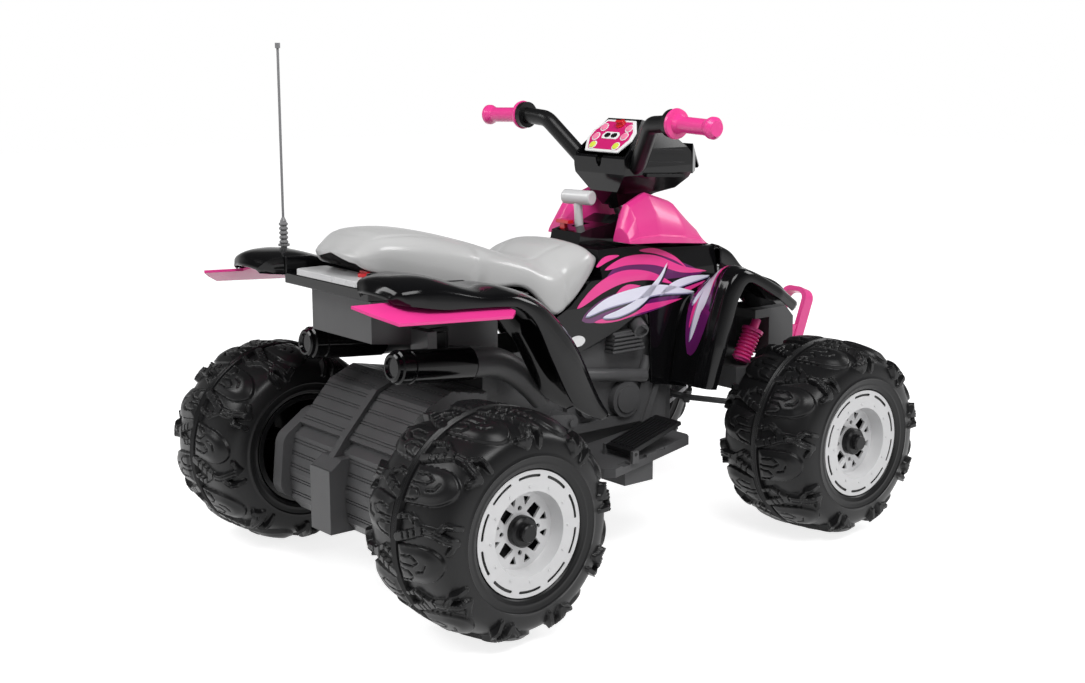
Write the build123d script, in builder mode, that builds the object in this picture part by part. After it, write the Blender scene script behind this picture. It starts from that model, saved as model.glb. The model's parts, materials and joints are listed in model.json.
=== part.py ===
from build123d import *
from math import atan2, cos, degrees, radians, sin, tan
import os

os.makedirs("parts", exist_ok=True)

# The quad stands on Z = 0, its nose points along -Y and its right side along -X.
# All sizes are millimetres.

# Layout
WHEELBASE = 710
REAR_AXLE_Y = 400
FRONT_AXLE_Y = REAR_AXLE_Y - WHEELBASE
REAR_HALF_TRACK = 284
FRONT_HALF_TRACK = 264

# Clearances
RUN = 0.05
GAP = 0.3
SLACK = 1.0

# Tyre, sized in its own frame: radius and distance outboard of the wheel's middle
TYRE_R = 160
CARCASS_R = 153
TYRE_HALF = 94
TYRE_WALL = 5
SHOULDER_U = 64
LUGS = 18
LUG_ARC = 9
LUG_SWEEP = 5
SEAM_R = 157
SEAM_HALF = 4

# Rim
BARREL_R = 84
BARREL_WALL = 4
FLANGE_R = 87.5
FLANGE_T = 4
RING_U = 88.3
FACE_U = 67
FACE_T = 4
DISH_R = 58.5
FLOOR_R = 54
HUB_R = 14
SLOTS = 10
SLOT_R = 80
SLOT_WIDTH = 4
SLOT_DEPTH = 2.5
RIVETS = 12
RIVET_CIRCLE_R = 66
RIVET_R = 1.7
SPOKES = 4

# Hub cap and axles
CAP_R = 21.5
CAP_NOSE_R = 12.5
CAP_BODY = 13
CAP_NOSE = 9.5
AXLE_R = 6
NUT_R = 10
NUT_T = 5

# Steering
KINGPIN_X = 150
KINGPIN_R = 6
ARM_LENGTH = 70
PIN_R = 4
KNUCKLE_MAX = 18
STEER_MAX = 27
RAKE = 26
COLUMN_R = 8
COLUMN_FOOT_Z = 205
COLUMN_TOP_Z = 580
HEAD_BASE_Z = 536
HEAD_BASE_Y = -90
CRANK_T = 7
TIE_Z = 198
TIE_T = 6
TIE_WIDTH = 18
TIE_BEND_X = 60
PIN_SLACK = 0.5

# Front axle beam
BEAM_Z = 215
BEAM_TOP_Z = 255
BEAM_HALF = 118
BEAM_FRONT_Y = -345
BEAM_REAR_Y = -262
BOSS_R = 17

# Chassis frame
TUB_HALF = 72
TUB_WALL = 5
TUB_Z = 135
TUB_TOP_Z = 330
TUB_FRONT_Y = -150
TUB_REAR_Y = 255
NOSE_HALF = 48
NOSE_FRONT_Y = -400
TOWER_HALF = 126
TOWER_FRONT_Y = -395
TOWER_REAR_Y = -333
TOWER_Z = 266
TOWER_TOP_Z = 350
TAIL_FRAME_HALF = 80
TAIL_FRAME_REAR_Y = 452
TAIL_FRAME_Z = 352
TAIL_FRAME_RISE = 27
STEER_TUBE_R = 16
STEER_TUBE_TOP_Z = 425

# Swing arm and drive
PIVOT_Y = 106
PIVOT_Z = 214
PIVOT_R = 6
ARM_X = 102
ARM_T = 12
EYE_R = 14
CARRIER_Y = 272
CARRIER_T = 13
CARRIER_Z = 152
CARRIER_TOP_Z = 290
DRUM_HALF = 132
DRUM_WALL = 4
GROOVE = 1.6
MOTOR_Y = 415
MOTOR_Z = 212
MOTOR_R = 24
MOTOR_LENGTH = 66
GEARBOX_T = 28
TAIL_BOX_HALF = 27
TAIL_BOX_REAR_Y = 496
TAIL_BOX_Z = 90
STRAP_HALF = 7
STRAP_T = 4
SPRING_R = 16
SPRING_WIRE_R = 2.5
SPRING_TURNS = 4
SPRING_Y = 284
SPRING_SEAT_Z = 345
SHELF_Z = 310

# Body and covers
BODY_HALF = 100
BODY_TOP_HALF = 84
BODY_WALL = 4
BODY_FRONT_Y = -232
BODY_REAR_Y = 150
HATCH_HALF = 62
HOOD_HALF = 104
HOOD_Z = 353
SHEET = 5
FRONT_FENDER_X = 205
REAR_FENDER_X = 238
REAR_FENDER_INNER_X = 112
FENDER_LEG_X = 150
LIP = 6
DECK_Z = 463
DECK_REAR_Y = 478
DECK_FRONT_Y = 190
DECK_DROP = 33
DECK_PLATE_T = 9
DECK_PLATE_HALF = 84
DECK_PLATE_FRONT_Y = 424
FLAP_T = 4
PANEL_X = 72.3
PANEL_OUT_X = 96
FIN_OUT_X = 104

# Seat
SEAT_HALF = 105
SEAT_HINGE_Y = 52
SEAT_HINGE_Z = 468
SEAT_WALL = 4
SEAT_ROOF_Z = 432
EAR_X = 30
EAR_T = 10
KNOB_X = -50
KNOB_Y = 442

# Engine panel relief
FINS = 5
FIN_Z = 311
FIN_PITCH = 6.5

# Exhaust
MUFFLER_X = 117.5
MUFFLER_R = 25
MUFFLER_TIP_Y = 446
MUFFLER_TIP_Z = 350
MUFFLER_LENGTH = 140
MUFFLER_DROP = 12
PIPE_R = 20
PIPE_WALL = 3

# Foot controls
BOARD_HALF = 205
BOARD_INNER_X = 78
BOARD_T = 14
BOARD_REAR_Y = 106
BOARD_REAR_Z = 156
BOARD_FRONT_Y = -91
BOARD_FRONT_Z = 176
PEDAL_X = -170
PEDAL_WIDTH = 58
PEDAL_HINGE_Y = 52
PEDAL_HINGE_Z = 173
PEDAL_LENGTH = 108
PEDAL_TILT = 16
PEDAL_RIBS = 8
PEDAL_RIB_PITCH = 7

# Head and handlebar
PANEL_TILT = 46.5
PANEL_Y = -53
PANEL_Z = 625
PANEL_PLATE = 3
BAR_R = 13.5
BAR_CORE_R = 10
GRIP_START_X = 185
GRIP_LENGTH = 96
GRIP_R = 12.5
GRIP_FLANGE_R = 24
GRIP_KNOB_R = 17
GRIP_END_R = 12
BUTTON_R = 6.5
BUTTON_TRAVEL = 1.5

# Gear lever
LEVER_X = 8
LEVER_Y = -15
LEVER_PIVOT_Z = 488
LEVER_TRAVEL = 16
GATE_Z = 506
GATE_HALF = 36
GATE_REAR_Y = 26
STEM_R = 7
LOCK_X = 22
LOCK_Y = 8
LOCK_TRAVEL = 8

# Front end
HOOD_REAR_Y = -232.3
FRONT_LIP = 24
SHOCK_X = 112
SHOCK_R = 17
SHOCK_RIBS = 8
SHOCK_RIB_START = 9
SHOCK_PITCH = 6.5
BUMPER_HALF = 32
BUMPER_DEPTH = 22
BAR_Z = 120
FLAP_Z = 437
KEY_R = 9

# Antenna
ANTENNA_X = 205
ANTENNA_Y = 425
ANTENNA_TIP_Z = 800
ANTENNA_R = 2
ANTENNA_SPRING_TOP_Z = 526

pieces = {}


def keep(name, part):
    """Collect a finished piece under its node name."""
    part.label = name
    pieces[name] = part


def side(x, y, z):
    """A plane through a point that looks outboard along +X, with local x along +Y and local y up."""
    return Plane(origin=(x, y, z), x_dir=(0, 1, 0), z_dir=(1, 0, 0))


def block(x, y, z, mode=Mode.ADD):
    """A box between low and high limits on each axis."""
    with Locations(((x[0] + x[1]) / 2, (y[0] + y[1]) / 2, (z[0] + z[1]) / 2)):
        Box(x[1] - x[0], y[1] - y[0], z[1] - z[0], mode=mode)


def slab(points, x_low, x_high, mode=Mode.ADD):
    """An outline of (y, z) points, extruded from x_low to x_high."""
    with BuildSketch(Plane.YZ.offset(x_low)) as outline:
        with BuildLine():
            Polyline(*points, close=True)
        make_face()
    extrude(outline.sketch, amount=x_high - x_low, dir=(1, 0, 0), mode=mode)


def rod(start, end, radius, mode=Mode.ADD):
    """A round bar from one point to another."""
    run = Vector(*end) - Vector(*start)
    with Locations(Plane(origin=start, z_dir=run)):
        Cylinder(radius, run.length, align=(Align.CENTER, Align.CENTER, Align.MIN), mode=mode)


def tube(route, bend, radius, bore=0, mode=Mode.ADD):
    """A round tube along a route of points, with its corners bent to a radius."""
    with BuildLine() as path:
        FilletPolyline(*route, radius=bend)
    with BuildSketch(Plane(origin=path.line @ 0, z_dir=path.line % 0)) as ring:
        Circle(radius)
        if bore:
            Circle(bore, mode=Mode.SUBTRACT)
    sweep(ring.sketch, path=path.line, mode=mode)


def strip(start, end, width):
    """A flat bar with round ends, drawn between two points of the current sketch."""
    run = Vector(*end) - Vector(*start)
    with Locations(((start[0] + end[0]) / 2, (start[1] + end[1]) / 2)):
        SlotCenterToCenter(run.length, width, rotation=degrees(atan2(run.Y, run.X)))


# Tyre: a carcass open to the rim, with paddle lugs in two staggered rows
PITCH = 360 / LUGS
with BuildPart() as inner_lug:
    with BuildSketch(Plane.XZ):
        with BuildLine():
            Polyline(
                (CARCASS_R - 4, SEAM_HALF + 1),
                (TYRE_R, SEAM_HALF + 1),
                (TYRE_R, 42),
                (CARCASS_R - 6, 42),
                close=True,
            )
        make_face()
    revolve(axis=Axis.Z, revolution_arc=LUG_ARC)
with BuildPart() as outer_lug:
    with BuildSketch(Plane.XZ):
        with BuildLine():
            Polyline(
                (CARCASS_R - 6, 36),
                (TYRE_R, 36),
                (TYRE_R - 0.5, SHOULDER_U - 4),
                (TYRE_R - 14, 86),
                (TYRE_R - 33, TYRE_HALF + 2.5),
                (TYRE_R - 43, TYRE_HALF + 2.5),
                (TYRE_R - 43, TYRE_HALF - 3),
                (TYRE_R - 24, SHOULDER_U + 14),
                close=True,
            )
        make_face()
    revolve(axis=Axis.Z, revolution_arc=LUG_ARC)

with BuildPart() as tyre:
    with BuildSketch(Plane.XZ):
        with BuildLine():
            crown = ThreePointArc((CARCASS_R, 0), (CARCASS_R - 1.7, 32), (CARCASS_R - 7, SHOULDER_U))
            wall = ThreePointArc(crown @ 1, (CARCASS_R - 19, 86), (CARCASS_R - 41, TYRE_HALF))
            bead = Polyline(
                wall @ 1,
                (FLANGE_R + 4, TYRE_HALF - 4),
                (FLANGE_R + SLACK, RING_U),
                (FLANGE_R + SLACK, BARREL_R),
                (BARREL_R + GAP, BARREL_R),
                (BARREL_R + GAP, BARREL_R - 8),
                (BARREL_R + 6, BARREL_R - 8),
                (CARCASS_R - 41, TYRE_HALF - TYRE_WALL),
            )
            inner_wall = ThreePointArc(
                bead @ 1, (CARCASS_R - 23, 82), (CARCASS_R - 7 - TYRE_WALL, SHOULDER_U - 3)
            )
            ThreePointArc(
                inner_wall @ 1, (CARCASS_R - 1.7 - TYRE_WALL, 30), (CARCASS_R - TYRE_WALL, 0)
            )
            mirror(about=Plane.XZ)
        make_face()
    revolve(axis=Axis.Z)
    with BuildSketch(Plane.XY.offset(-SEAM_HALF)):
        Circle(SEAM_R)
        Circle(CARCASS_R - 2, mode=Mode.SUBTRACT)
    extrude(amount=2 * SEAM_HALF)
    upper_row = [
        inner_lug.part.rotate(Axis.Z, -LUG_ARC / 2),
        outer_lug.part.rotate(Axis.Z, LUG_SWEEP - LUG_ARC / 2),
    ]
    lower_row = [mirror(piece, about=Plane.XY, mode=Mode.PRIVATE) for piece in upper_row]
    with PolarLocations(0, LUGS):
        add(upper_row)
    with PolarLocations(0, LUGS, start_angle=PITCH / 2):
        add(lower_row)

# Rim: barrel, two flanges, dished face with windows, and a hub tube on the axle
with BuildPart() as rim:
    with BuildSketch(Plane.XZ):
        with BuildLine():
            Polyline(
                (BARREL_R - BARREL_WALL, -RING_U),
                (FLANGE_R, -RING_U),
                (FLANGE_R, -RING_U + FLANGE_T),
                (BARREL_R, -RING_U + FLANGE_T),
                (BARREL_R, RING_U - FLANGE_T),
                (FLANGE_R, RING_U - FLANGE_T),
                (FLANGE_R, RING_U),
                (DISH_R, RING_U),
                (FLOOR_R, FACE_U),
                (AXLE_R + RUN, FACE_U),
                (AXLE_R + RUN, -RING_U),
                (HUB_R, -RING_U),
                (HUB_R, FACE_U - FACE_T),
                (FLOOR_R + 2, FACE_U - FACE_T),
                (DISH_R + 2, RING_U - FLANGE_T),
                (BARREL_R - BARREL_WALL, RING_U - FLANGE_T),
                close=True,
            )
        make_face()
    revolve(axis=Axis.Z)
    with BuildSketch(Plane.XY.offset(RING_U)):
        with PolarLocations(0, SLOTS):
            SlotArc(CenterArc((0, 0), SLOT_R, 78, 24), SLOT_WIDTH)
    extrude(amount=-SLOT_DEPTH, mode=Mode.SUBTRACT)
    with BuildSketch(Plane.XY.offset(RING_U - 1)):
        with PolarLocations(RIVET_CIRCLE_R, RIVETS):
            Circle(RIVET_R)
    extrude(amount=2)
    with BuildSketch(Plane.XY.offset(FACE_U)) as windows:
        for turn in (-15.5, 15.5):
            with PolarLocations(0, SPOKES, start_angle=turn):
                Polygon((34.5, 0), (47, 6.2), (47, -6.2), align=None)
        with PolarLocations(0, SPOKES, start_angle=180 / SPOKES):
            Polygon((25.5, 9.4), (43, 7), (43, -7), (25.5, -9.4), align=None)
        fillet(windows.vertices(), radius=1.2)
        with PolarLocations(31, SPOKES):
            Circle(3.4)
    extrude(amount=-2 * FACE_T, mode=Mode.SUBTRACT)

# Hub cap: two stepped drums over the axle nut
with BuildPart() as hub_cap:
    with BuildSketch(Plane.XZ):
        with BuildLine():
            Polyline(
                (NUT_R + SLACK, FACE_U),
                (CAP_R, FACE_U),
                (CAP_R, FACE_U + CAP_BODY - 3),
                (CAP_R - 3, FACE_U + CAP_BODY),
                (CAP_NOSE_R, FACE_U + CAP_BODY),
                (CAP_NOSE_R, FACE_U + CAP_BODY + CAP_NOSE - 2),
                (CAP_NOSE_R - 2, FACE_U + CAP_BODY + CAP_NOSE),
                (0, FACE_U + CAP_BODY + CAP_NOSE),
                (0, FACE_U + NUT_T + 4),
                (NUT_R + SLACK, FACE_U + NUT_T + 4),
                close=True,
            )
        make_face()
    revolve(axis=Axis.Z)

WHEELS = {
    "rear_left": (1, REAR_HALF_TRACK, REAR_AXLE_Y),
    "rear_right": (-1, REAR_HALF_TRACK, REAR_AXLE_Y),
    "front_left": (1, FRONT_HALF_TRACK, FRONT_AXLE_Y),
    "front_right": (-1, FRONT_HALF_TRACK, FRONT_AXLE_Y),
}
for corner, (hand, half_track, axle_y) in WHEELS.items():
    place = Plane(origin=(hand * half_track, axle_y, TYRE_R), x_dir=(0, 1, 0), z_dir=(hand, 0, 0))
    keep(f"tyre_{corner}", tyre.part.moved(place.location))
    keep(f"rim_{corner}", rim.part.moved(place.location))
    keep(f"hub_cap_{corner}", hub_cap.part.moved(place.location))

# Rear axle: a fixed rod whose end nuts keep both rear wheels on
axle_end = REAR_HALF_TRACK + FACE_U
with BuildPart() as rear_axle:
    rod((-axle_end, REAR_AXLE_Y, TYRE_R), (axle_end, REAR_AXLE_Y, TYRE_R), AXLE_R)
    for hand in (-1, 1):
        nut = hand * (axle_end + GAP)
        rod((hand * axle_end, REAR_AXLE_Y, TYRE_R), (nut + hand * NUT_T, REAR_AXLE_Y, TYRE_R), AXLE_R)
        rod((nut, REAR_AXLE_Y, TYRE_R), (nut + hand * NUT_T, REAR_AXLE_Y, TYRE_R), NUT_R)
keep("rear_axle", rear_axle.part)

# Steering knuckle: kingpin in the beam's boss, stub axle to the wheel, arm to the tie rod
stub_end = FRONT_HALF_TRACK + FACE_U
with BuildPart() as knuckle_left:
    rod((KINGPIN_X, FRONT_AXLE_Y, TYRE_R), (KINGPIN_X, FRONT_AXLE_Y, BEAM_TOP_Z + GAP + 7), KINGPIN_R)
    rod(
        (KINGPIN_X, FRONT_AXLE_Y, BEAM_TOP_Z + GAP),
        (KINGPIN_X, FRONT_AXLE_Y, BEAM_TOP_Z + GAP + 7),
        KINGPIN_R + 4,
    )
    rod((KINGPIN_X, FRONT_AXLE_Y, TYRE_R - 18), (KINGPIN_X, FRONT_AXLE_Y, BEAM_Z - GAP), 13)
    rod((KINGPIN_X, FRONT_AXLE_Y, TYRE_R), (stub_end + GAP + NUT_T, FRONT_AXLE_Y, TYRE_R), AXLE_R)
    rod((stub_end + GAP, FRONT_AXLE_Y, TYRE_R), (stub_end + GAP + NUT_T, FRONT_AXLE_Y, TYRE_R), NUT_R)
    block(
        (KINGPIN_X - 7, KINGPIN_X + 7),
        (FRONT_AXLE_Y, FRONT_AXLE_Y + ARM_LENGTH + 7),
        (TIE_Z - GAP - 8, TIE_Z - GAP),
    )
    rod(
        (KINGPIN_X, FRONT_AXLE_Y + ARM_LENGTH, TIE_Z - 4),
        (KINGPIN_X, FRONT_AXLE_Y + ARM_LENGTH, TIE_Z + TIE_T + 4),
        PIN_R,
    )
keep("knuckle_left", knuckle_left.part)
keep("knuckle_right", mirror(knuckle_left.part, about=Plane.YZ))

# Steering column: raked rod with a crank at its foot, whose pin drives the tie rod
rake_rise = tan(radians(RAKE))


def column_y(z):
    """Where the column's axis is at a height."""
    return HEAD_BASE_Y + (z - HEAD_BASE_Z) * rake_rise


CRANK = ARM_LENGTH * sin(radians(KNUCKLE_MAX)) / sin(radians(STEER_MAX))
foot = Vector(0, column_y(COLUMN_FOOT_Z), COLUMN_FOOT_Z)
column_axis = Vector(0, sin(radians(RAKE)), cos(radians(RAKE)))
column_plane = Plane(origin=foot, x_dir=(1, 0, 0), z_dir=column_axis)
column_length = (COLUMN_TOP_Z - COLUMN_FOOT_Z) / cos(radians(RAKE))
pin_root = foot + Vector(0, cos(radians(RAKE)), -sin(radians(RAKE))) * CRANK
pin_rise = (TIE_Z + TIE_T / 2 - pin_root.Z) / cos(radians(RAKE))
tie_mid_y = pin_root.Y + pin_rise * sin(radians(RAKE))
with BuildPart() as steering_column:
    with BuildSketch(column_plane):
        Circle(COLUMN_R)
    extrude(amount=column_length)
    with BuildSketch(column_plane.offset(-CRANK_T)):
        with Locations((0, CRANK / 2)):
            SlotCenterToCenter(CRANK, 2 * COLUMN_R, rotation=90)
    extrude(amount=CRANK_T)
    with BuildSketch(column_plane.offset(-CRANK_T)):
        with Locations((0, CRANK)):
            Circle(PIN_R)
    extrude(amount=CRANK_T + pin_rise + TIE_T)
keep("steering_column", steering_column.part)

# Tie rod: a flat bar with a slot for each pin, set back in its middle to meet the crank
tie_end_y = FRONT_AXLE_Y + ARM_LENGTH
knuckle_swing = ARM_LENGTH * (1 - cos(radians(KNUCKLE_MAX)))
crank_swing = CRANK * (1 - cos(radians(STEER_MAX))) / cos(radians(RAKE))
pin_lean = TIE_T * rake_rise / 2
with BuildPart() as tie_rod:
    with BuildSketch(Plane.XY.offset(TIE_Z)):
        strip((-TIE_BEND_X, tie_mid_y), (TIE_BEND_X, tie_mid_y), TIE_WIDTH)
        for hand in (-1, 1):
            strip((hand * TIE_BEND_X, tie_mid_y), (hand * KINGPIN_X, tie_end_y), TIE_WIDTH)
        with Locations((-KINGPIN_X, tie_end_y), (KINGPIN_X, tie_end_y), (0, tie_mid_y - crank_swing / 2)):
            Circle(TIE_WIDTH * 0.85)
        slot_width = 2 * (PIN_R + PIN_SLACK)
        for x in (-KINGPIN_X, KINGPIN_X):
            with Locations((x, tie_end_y - knuckle_swing / 2)):
                Rectangle(slot_width, slot_width + knuckle_swing, mode=Mode.SUBTRACT)
        with Locations((0, tie_mid_y - crank_swing / 2)):
            Rectangle(
                slot_width,
                2 * (PIN_R / cos(radians(RAKE)) + PIN_SLACK + pin_lean) + crank_swing,
                mode=Mode.SUBTRACT,
            )
    extrude(amount=TIE_T)
keep("tie_rod", tie_rod.part)

# Front axle beam: bosses at its ends carry the kingpins
with BuildPart() as front_axle_beam:
    with BuildSketch(Plane.XY.offset(BEAM_Z)):
        with BuildLine():
            Polyline(
                (-BEAM_HALF, BEAM_FRONT_Y), (BEAM_HALF, BEAM_FRONT_Y),
                (KINGPIN_X + 6, FRONT_AXLE_Y - BOSS_R + 2), (KINGPIN_X + 6, FRONT_AXLE_Y + BOSS_R - 2),
                (BEAM_HALF, BEAM_REAR_Y), (-BEAM_HALF, BEAM_REAR_Y),
                (-KINGPIN_X - 6, FRONT_AXLE_Y + BOSS_R - 2), (-KINGPIN_X - 6, FRONT_AXLE_Y - BOSS_R + 2),
                close=True,
            )
        make_face()
        with Locations((-KINGPIN_X, FRONT_AXLE_Y), (KINGPIN_X, FRONT_AXLE_Y)):
            Circle(BOSS_R)
            Circle(KINGPIN_R + RUN, mode=Mode.SUBTRACT)
    extrude(amount=BEAM_TOP_Z - BEAM_Z)
keep("front_axle_beam", front_axle_beam.part)

# Muffler axis, shared by its bracket, the pipe and the cylinder itself
muffler_run = Vector(0, -MUFFLER_LENGTH, -MUFFLER_DROP)
muffler_front_y = MUFFLER_TIP_Y - MUFFLER_LENGTH
muffler_front_z = MUFFLER_TIP_Z - MUFFLER_DROP


def deck_z(y):
    """Height of the rear deck's top."""
    return DECK_Z - DECK_DROP * (DECK_REAR_Y - y) / (DECK_REAR_Y - DECK_FRONT_Y)


# Chassis frame: tub, rear frame under the deck, nose box, shock towers and steering tube
with BuildPart() as chassis_frame:
    block((-TUB_HALF, TUB_HALF), (TUB_FRONT_Y, TUB_REAR_Y), (TUB_Z, TUB_TOP_Z))
    block(
        (-TUB_HALF + TUB_WALL, TUB_HALF - TUB_WALL),
        (TUB_FRONT_Y + TUB_WALL, TUB_REAR_Y - TUB_WALL),
        (TUB_Z + TUB_WALL, TUB_TOP_Z + SLACK),
        mode=Mode.SUBTRACT,
    )
    under_deck = SHEET + GAP
    block((-24, 24), (TUB_REAR_Y, SPRING_Y + 20), (SPRING_SEAT_Z, TAIL_FRAME_Z + 10))
    slab(
        [
            (TUB_REAR_Y - 30, TUB_TOP_Z - 60),
            (TUB_REAR_Y, TUB_TOP_Z - 60),
            (TUB_REAR_Y, TAIL_FRAME_Z),
            (TAIL_FRAME_REAR_Y, TAIL_FRAME_Z + TAIL_FRAME_RISE),
            (TAIL_FRAME_REAR_Y, deck_z(TAIL_FRAME_REAR_Y) - under_deck),
            (TUB_REAR_Y - 30, deck_z(TUB_REAR_Y - 30) - under_deck),
        ],
        -TAIL_FRAME_HALF,
        TAIL_FRAME_HALF,
    )
    block((-NOSE_HALF, NOSE_HALF), (NOSE_FRONT_Y, TUB_FRONT_Y + TUB_WALL), (BEAM_TOP_Z, TUB_TOP_Z))
    for hand in (-1, 1):
        tower = sorted((hand * (NOSE_HALF - 2), hand * TOWER_HALF))
        slab(
            [
                (TOWER_FRONT_Y, TOWER_Z),
                (TOWER_REAR_Y, TOWER_Z),
                (TOWER_REAR_Y, TOWER_TOP_Z - 15),
                (TOWER_REAR_Y + 35, TOWER_TOP_Z - 15),
                (TOWER_REAR_Y + 35, TOWER_TOP_Z),
                (TOWER_FRONT_Y + 20, TOWER_TOP_Z),
                (TOWER_FRONT_Y, TOWER_TOP_Z - 20),
            ],
            *tower,
        )
        rod((hand * (TUB_HALF - 2), PIVOT_Y, PIVOT_Z), (hand * (ARM_X - GAP), PIVOT_Y, PIVOT_Z), EYE_R)
        rod(
            (hand * TUB_HALF, PIVOT_Y, PIVOT_Z),
            (hand * (ARM_X + ARM_T + GAP + 4), PIVOT_Y, PIVOT_Z),
            PIVOT_R,
        )
        bracket_y = MUFFLER_TIP_Y - MUFFLER_LENGTH / 2
        bracket_x = sorted((hand * (TAIL_FRAME_HALF - 2), hand * (MUFFLER_X + 4)))
        block(bracket_x, (bracket_y - 8, bracket_y + 8), (MUFFLER_TIP_Z + 6, MUFFLER_TIP_Z + 44))
        tip = Vector(hand * MUFFLER_X, MUFFLER_TIP_Y, MUFFLER_TIP_Z)
        rod(tuple(tip), tuple(tip + muffler_run), MUFFLER_R + GAP, mode=Mode.SUBTRACT)
    tube_low = BEAM_TOP_Z + 2
    rod(
        (0, column_y(tube_low + 8), tube_low + 8),
        (0, column_y(STEER_TUBE_TOP_Z), STEER_TUBE_TOP_Z),
        STEER_TUBE_R,
    )
    rod(tuple(foot), (0, column_y(HEAD_BASE_Z), HEAD_BASE_Z), COLUMN_R + RUN, mode=Mode.SUBTRACT)
keep("chassis_frame", chassis_frame.part)

# Battery on the tub's floor
with BuildPart() as battery:
    block((-49, 49), (35, 186), (TUB_Z + TUB_WALL, TUB_Z + TUB_WALL + 95))
    for x in (-30, 30):
        block((x - 7, x + 7), (160, 172), (TUB_Z + TUB_WALL + 94, TUB_Z + TUB_WALL + 101))
    fillet(battery.edges().filter_by(Axis.Z), radius=2)
keep("battery", battery.part)

# Swing arm: two arms on the pivots, joined by the plate that carries the drive
with BuildPart() as swing_arm:
    for hand in (-1, 1):
        arm_x = sorted((hand * ARM_X, hand * (ARM_X + ARM_T)))
        with BuildSketch(Plane.YZ.offset(arm_x[0])) as arm_outline:
            with Locations((PIVOT_Y, PIVOT_Z)):
                Circle(EYE_R)
            with Locations((CARRIER_Y + 4, 236), (CARRIER_Y + 4, 166)):
                Circle(9)
            make_hull()
            with Locations((PIVOT_Y, PIVOT_Z)):
                Circle(PIVOT_R + RUN, mode=Mode.SUBTRACT)
        extrude(arm_outline.sketch, amount=ARM_T, dir=(1, 0, 0))
    block(
        (-ARM_X - ARM_T, ARM_X + ARM_T),
        (CARRIER_Y, CARRIER_Y + CARRIER_T),
        (CARRIER_Z, CARRIER_TOP_Z),
    )
    block((-14, 14), (CARRIER_Y, CARRIER_Y + CARRIER_T), (CARRIER_TOP_Z - 2, SHELF_Z - 2))
    block((-20, 20), (SPRING_Y - 20, SPRING_Y + 20), (SHELF_Z - 4, SHELF_Z))
keep("swing_arm", swing_arm.part)

# Rear axle cover: a ribbed drum across the car, open towards the carrier plate
drum_front = CARRIER_Y + CARRIER_T
DRUM = [
    (drum_front, 292),
    (350, 304),
    (393, 286),
    (449, 224),
    (443, 217),
    (459, 207),
    (470, 150),
    (467, 106),
    (452, 88),
    (330, 80),
    (drum_front, 104),
]
DRUM_INNER = [
    (drum_front - SLACK, 286),
    (349, 299),
    (390, 282),
    (442, 225),
    (436, 217),
    (454, 204),
    (465, 150),
    (463, 108),
    (450, 93),
    (331, 85),
    (drum_front - SLACK, 109),
]


def drum_grooves(start, end, count):
    """Pairs of thin grooves along the drum, between two points of its outline."""
    lean = degrees(atan2(end[1] - start[1], end[0] - start[0]))
    for step in range(count):
        share = (step + 0.5) / count
        middle = Vector(start[0] + (end[0] - start[0]) * share, start[1] + (end[1] - start[1]) * share)
        for shift in (-2.2, 2.2):
            spot = middle + Vector(shift * cos(radians(lean)), shift * sin(radians(lean)))
            with Locations(Location((spot.X, spot.Y, 0), (0, 0, lean))):
                Rectangle(1.8, 2 * GROOVE)


with BuildPart() as rear_axle_cover:
    slab(DRUM, -DRUM_HALF, DRUM_HALF)
    slab(DRUM_INNER, -DRUM_HALF + DRUM_WALL, DRUM_HALF - DRUM_WALL, mode=Mode.SUBTRACT)
    with BuildSketch(Plane.YZ.offset(-DRUM_HALF)) as grooves:
        drum_grooves(DRUM[0], DRUM[1], 3)
        drum_grooves(DRUM[1], DRUM[2], 2)
        drum_grooves(DRUM[2], DRUM[3], 4)
        drum_grooves(DRUM[5], DRUM[6], 3)
        drum_grooves(DRUM[6], DRUM[7], 2)
    extrude(grooves.sketch, amount=2 * DRUM_HALF, dir=(1, 0, 0), mode=Mode.SUBTRACT)
    rod((-DRUM_HALF - 1, MOTOR_Y, MOTOR_Z), (DRUM_HALF + 1, MOTOR_Y, MOTOR_Z), MOTOR_R + SLACK, Mode.SUBTRACT)
    rod((-DRUM_HALF - 1, REAR_AXLE_Y, TYRE_R), (DRUM_HALF + 1, REAR_AXLE_Y, TYRE_R), HUB_R, Mode.SUBTRACT)
keep("rear_axle_cover", rear_axle_cover.part)

# Gearmotors: a lobed gear case outside each end of the drum, with its motor inside the drum
with BuildPart() as gearmotor:
    with BuildSketch(side(DRUM_HALF + GAP, 0, 0)) as case:
        with Locations((REAR_AXLE_Y, TYRE_R)):
            Circle(46)
        with Locations((453, 188)):
            Circle(27)
        with Locations((462, 130)):
            Circle(24)
        with Locations((MOTOR_Y, MOTOR_Z)):
            Circle(MOTOR_R + 5)
        make_hull()
    extrude(amount=GEARBOX_T)
    chamfer(gearmotor.faces().sort_by(Axis.X)[-1].edges(), length=4)
    rod(
        (DRUM_HALF + GAP + GEARBOX_T - 1, REAR_AXLE_Y, TYRE_R),
        (REAR_HALF_TRACK - RING_U - GAP, REAR_AXLE_Y, TYRE_R),
        HUB_R,
    )
    rod((DRUM_HALF + 1, MOTOR_Y, MOTOR_Z), (DRUM_HALF - MOTOR_LENGTH, MOTOR_Y, MOTOR_Z), MOTOR_R)
    rod((0, REAR_AXLE_Y, TYRE_R), (REAR_HALF_TRACK, REAR_AXLE_Y, TYRE_R), AXLE_R + RUN, Mode.SUBTRACT)
with BuildPart() as gearmotors:
    add(gearmotor.part)
    mirror(about=Plane.YZ)
keep("gearmotors", gearmotors.part)

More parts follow.
